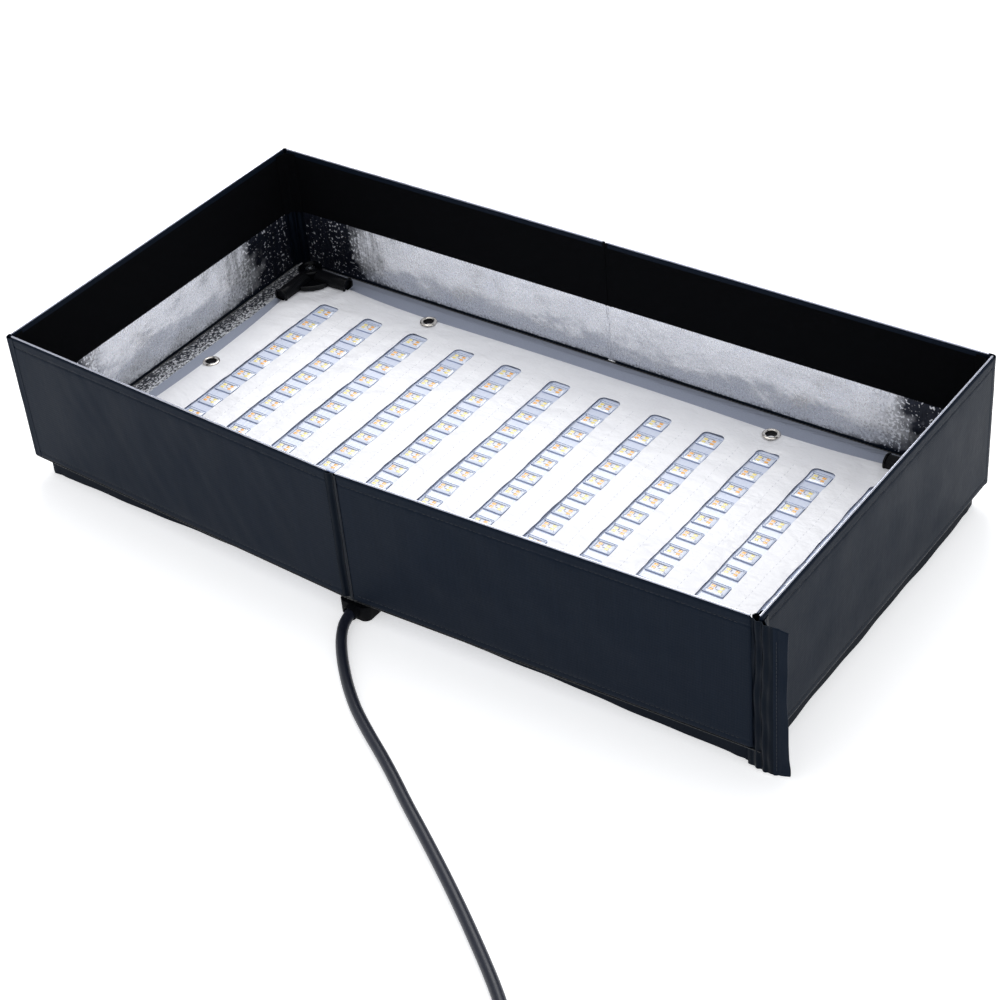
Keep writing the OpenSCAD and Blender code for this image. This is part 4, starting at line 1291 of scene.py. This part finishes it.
def make_mat_sheet():
    cloth, u, v = cloth_grid("mat_sheet", 300, 150)
    sx, sy = 2 * u - 1, 2 * v - 1
    x0, y0 = sx * MAT_HIGH.x, sy * MAT_HIGH.y
    x = sx * short_edge(y0)
    y = sy * long_edge(x0)
    thick = 0.9 * MM
    inset = np.minimum(short_edge(y0) - np.abs(x), long_edge(x0) - np.abs(y))
    droop = 0.9 * MM * (1 - smoothstep(inset, 0, 5 * MM))
    curl = smoothstep(inset, -1 * MM, 10 * MM)
    base = MAT_TOP - 0.35 * MM
    set_coords(cloth, np.stack([x, y, base + billow(x, y) * curl - droop], 1))
    finish_cloth(cloth, SHEET, 2 * MAT_HIGH.x, 2 * MAT_HIGH.y, thick, (0, 0, 1))
    cutters = [slot_cutter(cx) for cx in COLUMN_X]
    cutters += [round_cutter(ex, ey, 0.010, 0.040, EYELET_R + 0.9 * MM) for ex, ey in EYELETS]
    # the slots' cut walls take the painted shade colour
    cut_holes(cloth, cutters, SLOT_WALL_SHADE)
    co = coords(cloth)
    push = DRIFT * ripple(co[:, 1], co[:, 0] * 0.5, 64, 0.050)
    away = smoothstep(MAT_HIGH.x - 14 * MM - np.abs(co[:, 0]), 0, 20 * MM)
    co[:, 0] += push * away
    set_coords(cloth, co)
    smooth(cloth, 45)
    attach(cloth, "base")
    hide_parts("mat_cover")
    return cloth


def make_quilt_stitches():
    """Pale stitches in a line midway between neighbouring slots, sunk into the sheet."""
    rows = []
    pitch = 4.6 * MM
    for left, right in zip(COLUMN_X, COLUMN_X[1:]):
        x = (left + right) / 2
        count = int((LED_WID + 2 * SLOT_END) / pitch)
        row = stitch_row("row", (x, -LED_WID / 2 - SLOT_END, 0), (0, 1, 0), (0, 0, 1), count, pitch,
                         long=2.0 * MM, wide=0.5 * MM)
        co = coords(row)
        co[:, 2] += MAT_TOP - 0.35 * MM + billow(co[:, 0], co[:, 1]) + 0.02 * MM
        co[:, 0] += DRIFT * ripple(co[:, 1], co[:, 0] * 0.5, 64, 0.050)
        set_coords(row, co)
        rows.append(row)
    quilt = join("quilt_stitches", rows)
    paint(quilt, PALE_THREAD)
    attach(quilt, "base")
    return quilt


LENS_L, LENS_W, LENS_H = 19 * MM, 13.5 * MM, 1.8 * MM
WINDOW_RINGS = ((0.6, 0.0), (1.5, 0.0), (0.2, 0.0), (0.25, -0.35), (0.1, 0.0))
TILE_TOP = LENS_H * 0.7
WINDOW_IN = sum(ring[0] for ring in WINDOW_RINGS) * MM
WINDOW_Z = TILE_TOP + sum(ring[1] for ring in WINDOW_RINGS) * MM


def lens_tile():
    """One lens: a low moulded tile with rounded shoulders and a sunk window over the LEDs."""
    deselect()
    bpy.ops.mesh.primitive_cube_add(size=1, location=(0, 0, TILE_TOP / 2))
    tile = bpy.context.object
    tile.scale = (LENS_L, LENS_W, TILE_TOP)
    settle(tile)
    for edge in tile.data.edges:
        a, b = (tile.data.vertices[i].co for i in edge.vertices)
        edge.select = abs(a.z - b.z) > 0.5 * MM
    pick(tile)
    bpy.ops.object.mode_set(mode="EDIT")
    bpy.ops.mesh.select_mode(type="EDGE")
    bpy.ops.mesh.bevel(offset=1.2 * MM, segments=3)
    bpy.ops.mesh.select_mode(type="FACE")
    bpy.ops.mesh.select_all(action="DESELECT")
    bpy.ops.object.mode_set(mode="OBJECT")
    for face in tile.data.polygons:
        face.select = face.normal.z > 0.9
    bpy.ops.object.mode_set(mode="EDIT")
    for thickness, drop in WINDOW_RINGS:
        bpy.ops.mesh.inset(thickness=thickness * MM)
        if drop:
            bpy.ops.transform.translate(value=(0, 0, drop * MM))
    bpy.ops.object.mode_set(mode="OBJECT")
    modify(tile, "BEVEL", width=0.25 * MM, segments=2, limit_method="ANGLE", angle_limit=math.radians(70))
    apply_all(tile)
    return tile


def small_block(kind, x, y, size, low, high):
    """A small block with bevelled edges, as the LED package and its windows are."""
    deselect()
    bpy.ops.mesh.primitive_cube_add(size=1, location=(x, y, (low + high) / 2))
    block = bpy.context.object
    block.scale = (size[0], size[1], high - low)
    settle(block)
    modify(block, "BEVEL", width=min(0.35 * min(size), 0.3 * MM), segments=2, affect="EDGES")
    apply_all(block)
    return kind, block


def package_parts(flip):
    """White package with two phosphor windows of each colour and its chips; flip swaps the colours."""
    parts = [small_block("base", 0, 0, (13.3 * MM, 7.9 * MM), -0.1 * MM, 0.22 * MM)]
    for side, colour in ((-1, "yellow"), (1, "orange")):
        for lane in (-1, 1):
            parts.append(small_block(colour, side * flip * 3.9 * MM, lane * 1.9 * MM,
                                     (3.3 * MM, 2.5 * MM), 0.1 * MM, 0.38 * MM))
    for x, y, size in ((-1.2, 1.2, (0.8, 2.8)), (0.9, -1.1, (2.2, 0.7)), (0.4, 3.5, (6.6, 0.4))):
        parts.append(small_block("chip", x * MM, y * MM, (size[0] * MM, size[1] * MM), 0.1 * MM, 0.3 * MM))
    return parts


def repeat(name, master, places, material, twist=None, edge=False):
    """Copies the master mesh to each place and joins the copies into one piece."""
    one = coords(master)
    faces = [tuple(p.vertices) for p in master.data.polygons]
    verts, polys = [], []
    for k, (x, y, z) in enumerate(places):
        angle = 0.0 if twist is None else twist[k]
        cos, sin = math.cos(angle), math.sin(angle)
        verts += [(x + a * cos - b * sin, y + a * sin + b * cos, z + c) for a, b, c in one]
        polys += [tuple(i + k * len(one) for i in face) for face in faces]
    mesh = bpy.data.meshes.new(name)
    mesh.from_pydata(verts, [], polys)
    if edge:
        # marks the tile's outer edge and the rim of its sunk window, which the lens material darkens as
        # painted shade
        to_side = np.minimum(LENS_L / 2 - np.abs(one[:, 0]), LENS_W / 2 - np.abs(one[:, 1]))
        window = (to_side > WINDOW_IN - 0.4 * MM) & (to_side < WINDOW_IN - 0.05 * MM)
        marked = (to_side < 0.3 * MM) | window
        tone = np.tile(marked.astype(np.float32), len(places))
        layer = mesh.attributes.new("lens_edge_shade", "FLOAT", "POINT")
        layer.data.foreach_set("value", tone)
    piece = bpy.data.objects.new(name, mesh)
    bpy.context.scene.collection.objects.link(piece)
    paint(piece, material)
    smooth(piece, 35)
    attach(piece, "base")
    return piece


def make_leds():
    rng = np.random.default_rng(5)
    places = [(x, y, CIRCUIT_TOP) for x in COLUMN_X for y in ROW_Y]
    twist = rng.normal(0, 0.012, len(places))
    tile = lens_tile()
    tiles = repeat("lens_tiles", tile, places, RESIN, twist, edge=True)
    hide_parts("led_lenses")
    bpy.data.objects.remove(tile)
    top = CIRCUIT_TOP + WINDOW_Z
    even = [(x, y, top) for x in COLUMN_X for r, y in enumerate(ROW_Y) if r % 2 == 0]
    odd = [(x, y, top) for x in COLUMN_X for r, y in enumerate(ROW_Y) if r % 2]
    groups = {"base": [], "yellow": [], "orange": [], "chip": []}
    for flip, spots in ((1, even), (-1, odd)):
        for kind, part in package_parts(flip):
            groups[kind].append(repeat(kind, part, spots, PACKAGE))
            bpy.data.objects.remove(part)
    looks = {"base": ("led_bases", PACKAGE), "yellow": ("led_windows_cool", YELLOW),
             "orange": ("led_windows_warm", ORANGE), "chip": ("led_chips", CHIP)}
    for kind, pieces in groups.items():
        name, material = looks[kind]
        piece = join(name, pieces)
        paint(piece, material)
        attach(piece, "base")
        if kind == "base":
            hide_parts("led_packages")


make_mat_sheet()
make_quilt_stitches()
make_leds()


def make_eyelets():
    """Rolled metal rings: a rounded lip on the sheet and a short barrel down through the mat."""
    profile = [(4.7, -5.0), (4.7, 0.2), (4.95, 0.8), (5.6, 1.15), (6.5, 1.10), (7.4, 0.75), (7.8, 0.25),
               (7.8, -0.2), (7.1, -0.35), (5.45, -0.4), (5.4, -5.0)]
    rings = []
    for ex, ey in EYELETS:
        verts, faces = [], []
        around = 40
        for k in range(around):
            angle = 2 * math.pi * k / around
            verts += [(ex + r * MM * math.cos(angle), ey + r * MM * math.sin(angle), MAT_TOP + z * MM)
                      for r, z in profile]
        n = len(profile)
        for k in range(around):
            for i in range(n):
                a, b = k * n + i, k * n + (i + 1) % n
                c, d = ((k + 1) % around) * n + (i + 1) % n, ((k + 1) % around) * n + i
                faces.append((a, b, c, d))
        mesh = bpy.data.meshes.new("ring")
        mesh.from_pydata(verts, [], faces)
        ring = bpy.data.objects.new("ring", mesh)
        bpy.context.scene.collection.objects.link(ring)
        rings.append(ring)
    eyelets = join("eyelet_rings", rings)
    outwards(eyelets)
    paint(eyelets, NICKEL, NICKEL_HOLE_SHADE)
    # painted shade: the barrel's inside and its lower end are coloured dark so the hole reads dark
    for index, face in enumerate(eyelets.data.polygons):
        if index % len(profile) in (0, len(profile) - 1):
            face.material_index = 1
    smooth(eyelets, 60)
    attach(eyelets, "base")
    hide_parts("eyelets")


make_eyelets()

# ---------------------------------------------------------------- corner holders

ARM_R, ARM_LEN, ARM_RISE = 7 * MM, 45 * MM, 3.5 * MM
SLEEVE_LEN = ARM_LEN - 6 * MM
BOSS_R, BOSS_H = 11 * MM, 11 * MM
WEB_R = 26 * MM


def arm(direction):
    """One arm: a braided sleeve with a rolled glossy mouth and a dark hollow end."""
    parts = []
    deselect()
    bpy.ops.mesh.primitive_cylinder_add(vertices=40, radius=ARM_R, depth=SLEEVE_LEN, end_fill_type="NGON")
    sleeve = bpy.context.object
    bpy.ops.object.mode_set(mode="EDIT")
    bpy.ops.mesh.select_all(action="SELECT")
    bpy.ops.mesh.bevel(offset=0.8 * MM, segments=2)
    bpy.ops.object.mode_set(mode="OBJECT")
    co = coords(sleeve)
    co = np.stack([-(co[:, 2] + SLEEVE_LEN / 2 + 4 * MM), co[:, 1], co[:, 0]], 1)
    taper = 1 - 0.10 * smoothstep(-co[:, 0], 8 * MM, ARM_LEN)
    co[:, 1] *= taper
    co[:, 2] = co[:, 2] * taper
    set_coords(sleeve, co)
    parts.append(("braid", sleeve))
    deselect()
    bpy.ops.mesh.primitive_torus_add(major_radius=ARM_R - 0.9 * MM, minor_radius=1.2 * MM, major_segments=40,
                                     minor_segments=12, rotation=(0, math.pi / 2, 0),
                                     location=(-ARM_LEN + 1.4 * MM, 0, 0))
    parts.append(("gloss", settle(bpy.context.object)))
    for _, part in parts:
        co = coords(part)
        co[:, 2] = np.maximum(co[:, 2] + ARM_RISE, 0.0)
        if direction == "y":
            co = np.stack([co[:, 1], co[:, 0], co[:, 2]], 1)
        set_coords(part, co)
    return parts


def holder_parts():
    """A holder with its boss at the origin and its arms towards -X and -Y."""
    parts = arm("x") + arm("y")
    deselect()
    bpy.ops.mesh.primitive_cylinder_add(vertices=56, radius=BOSS_R, depth=BOSS_H,
                                        location=(0, 0, BOSS_H / 2))
    boss = settle(bpy.context.object)
    bpy.ops.object.mode_set(mode="EDIT")
    bpy.ops.mesh.select_all(action="DESELECT")
    bpy.ops.object.mode_set(mode="OBJECT")
    for face in boss.data.polygons:
        face.select = face.normal.z > 0.9
    bpy.ops.object.mode_set(mode="EDIT")
    bpy.ops.mesh.select_mode(type="FACE")
    bpy.ops.mesh.inset(thickness=2.2 * MM)
    bpy.ops.mesh.extrude_region_move(TRANSFORM_OT_translate={"value": (0, 0, -1.6 * MM)})
    bpy.ops.mesh.inset(thickness=2.6 * MM)
    bpy.ops.mesh.extrude_region_move(TRANSFORM_OT_translate={"value": (0, 0, -2.4 * MM)})
    bpy.ops.object.mode_set(mode="OBJECT")
    modify(boss, "BEVEL", width=0.7 * MM, segments=3, limit_method="ANGLE", angle_limit=math.radians(50))
    apply_all(boss)
    parts.append(("gloss", boss))
    deselect()
    bpy.ops.mesh.primitive_cylinder_add(vertices=72, radius=WEB_R, depth=3.2 * MM,
                                        location=(0, 0, 1.7 * MM))
    plate = settle(bpy.context.object)
    co = coords(plate)
    reach = np.hypot(co[:, 0], co[:, 1])
    angle = np.arctan2(co[:, 1], co[:, 0])
    blend = smoothstep(-co[:, 0], -2 * MM, 7 * MM) * smoothstep(-co[:, 1], -2 * MM, 7 * MM)
    radius = (BOSS_R - 0.5 * MM) + (WEB_R - BOSS_R + 0.5 * MM) * blend
    edge = reach > 1 * MM
    co[edge, 0] = np.cos(angle[edge]) * radius[edge]
    co[edge, 1] = np.sin(angle[edge]) * radius[edge]
    set_coords(plate, co)
    modify(plate, "BEVEL", width=1.2 * MM, segments=3, limit_method="ANGLE", angle_limit=math.radians(50))
    apply_all(plate)
    parts.append(("gloss", plate))
    line = [Vector((-24.6 * MM * math.cos(a), -24.6 * MM * math.sin(a), 3.6 * MM))
            for a in np.linspace(math.radians(17), math.radians(73), 24)]
    rim = tube_curve("rim", line, 1.3 * MM, 3)
    as_mesh(rim)
    parts.append(("gloss", rim))
    return parts


def make_holders():
    names = {(-1, -1): "fl", (1, -1): "fr", (-1, 1): "bl", (1, 1): "br"}
    parts = holder_parts()
    for (sx, sy), tag in names.items():
        made = {"braid": [], "gloss": []}
        for kind, part in parts:
            copy = part.copy()
            copy.data = part.data.copy()
            bpy.context.scene.collection.objects.link(copy)
            co = coords(copy)
            co = co * np.array((sx, sy, 1)) + np.array((sx * CORNER[0], sy * CORNER[1], MAT_TOP - 0.5 * MM))
            set_coords(copy, co)
            if sx * sy < 0:
                edit_all(copy, bpy.ops.mesh.flip_normals)
            made[kind].append(copy)
        body = join("holder_" + tag, made["gloss"])
        outwards(body)
        paint(body, HOLDER)
        smooth(body, 40)
        sleeve = join("holder_sleeves_" + tag, made["braid"])
        outwards(sleeve)
        paint(sleeve, BRAID)
        smooth(sleeve, 40)
        for piece in (body, sleeve):
            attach(piece, "base")
        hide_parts("corner_holder_" + tag)
    for _, part in parts:
        bpy.data.objects.remove(part)


make_holders()

# ---------------------------------------------------------------- CAD nodes that stay

CAD_LOOKS = {
    "mat_backing": BACKING, "led_circuit": FILM, "eyelet_washers": NICKEL, "power_ribbon": PLASTIC,
    "corner_screws": STEEL, "rod_tips": PLASTIC, "cross_hub": PLASTIC, "hub_cover": PLASTIC,
    "hub_insert": BRASS, "hub_screws": STEEL, "junction_box": PLASTIC, "junction_lid": PLASTIC,
    "junction_screws": STEEL, "cable_gland": RUBBER, "connector_shell": ALLOY, "connector_insert": PLASTIC,
    "connector_collar": ALLOY, "cross_rod_fl": FIBRE, "cross_rod_fr": FIBRE, "cross_rod_bl": FIBRE,
    "cross_rod_br": FIBRE,
}
BEVELS = {"cross_hub": 1.0, "hub_cover": 1.0, "junction_box": 0.8, "junction_lid": 0.5, "rod_tips": 0.6,
          "cable_gland": 1.6, "connector_shell": 0.5, "connector_collar": 0.6, "hub_insert": 0.3}


def dress_cad_nodes():
    for node, material in CAD_LOOKS.items():
        piece = frame["nodes"][node]
        paint(piece, material)
        if node in BEVELS:
            modify(piece, "WELD", merge_threshold=0.01 * MM)
            modify(piece, "BEVEL", width=BEVELS[node] * MM, segments=3, limit_method="ANGLE",
                   angle_limit=math.radians(50))


dress_cad_nodes()


# ---------------------------------------------------------------- floor and light

def make_stage():
    deselect()
    bpy.ops.mesh.primitive_plane_add(size=12, location=(0, 0, -0.0004))
    floor = bpy.context.object
    floor.name = "floor"
    finish = Finish("pale_floor", Roughness=0.9, Specular_IOR_Level=0.1, Emission_Strength=0.5)
    cloud = finish.noise(finish.place(), 2.0, 2.0)
    paint(floor, finish.show(Base_Color=finish.mix(cloud, (0.90, 0.90, 0.905), (0.92, 0.92, 0.922)),
                             Emission_Color=finish.mix(cloud, (0.97, 0.97, 0.975), (1.0, 1.0, 1.0))))


def soft_light(name, at, target, size, watts, colour=(1, 1, 1)):
    data = bpy.data.lights.new(name, "AREA")
    data.shape = "RECTANGLE"
    data.size, data.size_y = size
    data.energy = watts
    data.color = colour
    light = bpy.data.objects.new(name, data)
    bpy.context.scene.collection.objects.link(light)
    light.location = at
    light.rotation_euler = (Vector(target) - Vector(at)).to_track_quat("-Z", "Y").to_euler()
    return light


def make_light():
    bpy.context.scene.view_settings.view_transform = "Standard"
    world = bpy.data.worlds.new("studio")
    bpy.context.scene.world = world
    world.use_nodes = True
    background = world.node_tree.nodes["Background"]
    background.inputs[0].default_value = (0.96, 0.975, 1.0, 1)
    background.inputs[1].default_value = 0.69
    soft_light("top", (-0.3, 0.5, 2.2), (0, 0, 0.05), (1.6, 1.2), 11)
    soft_light("back", (-1.1, 1.5, 2.2), (0, 0, 0.1), (1.6, 1.4), 40)
    soft_light("right", (2.2, -0.4, 1.2), (0.1, 0, 0.05), (1.2, 1.2), 3, (0.85, 0.93, 1.0))
    soft_light("front", (-0.8, -2.2, 0.9), (0, 0, 0.05), (1.4, 1.0), 3, (0.90, 0.95, 1.0))


make_stage()
make_light()
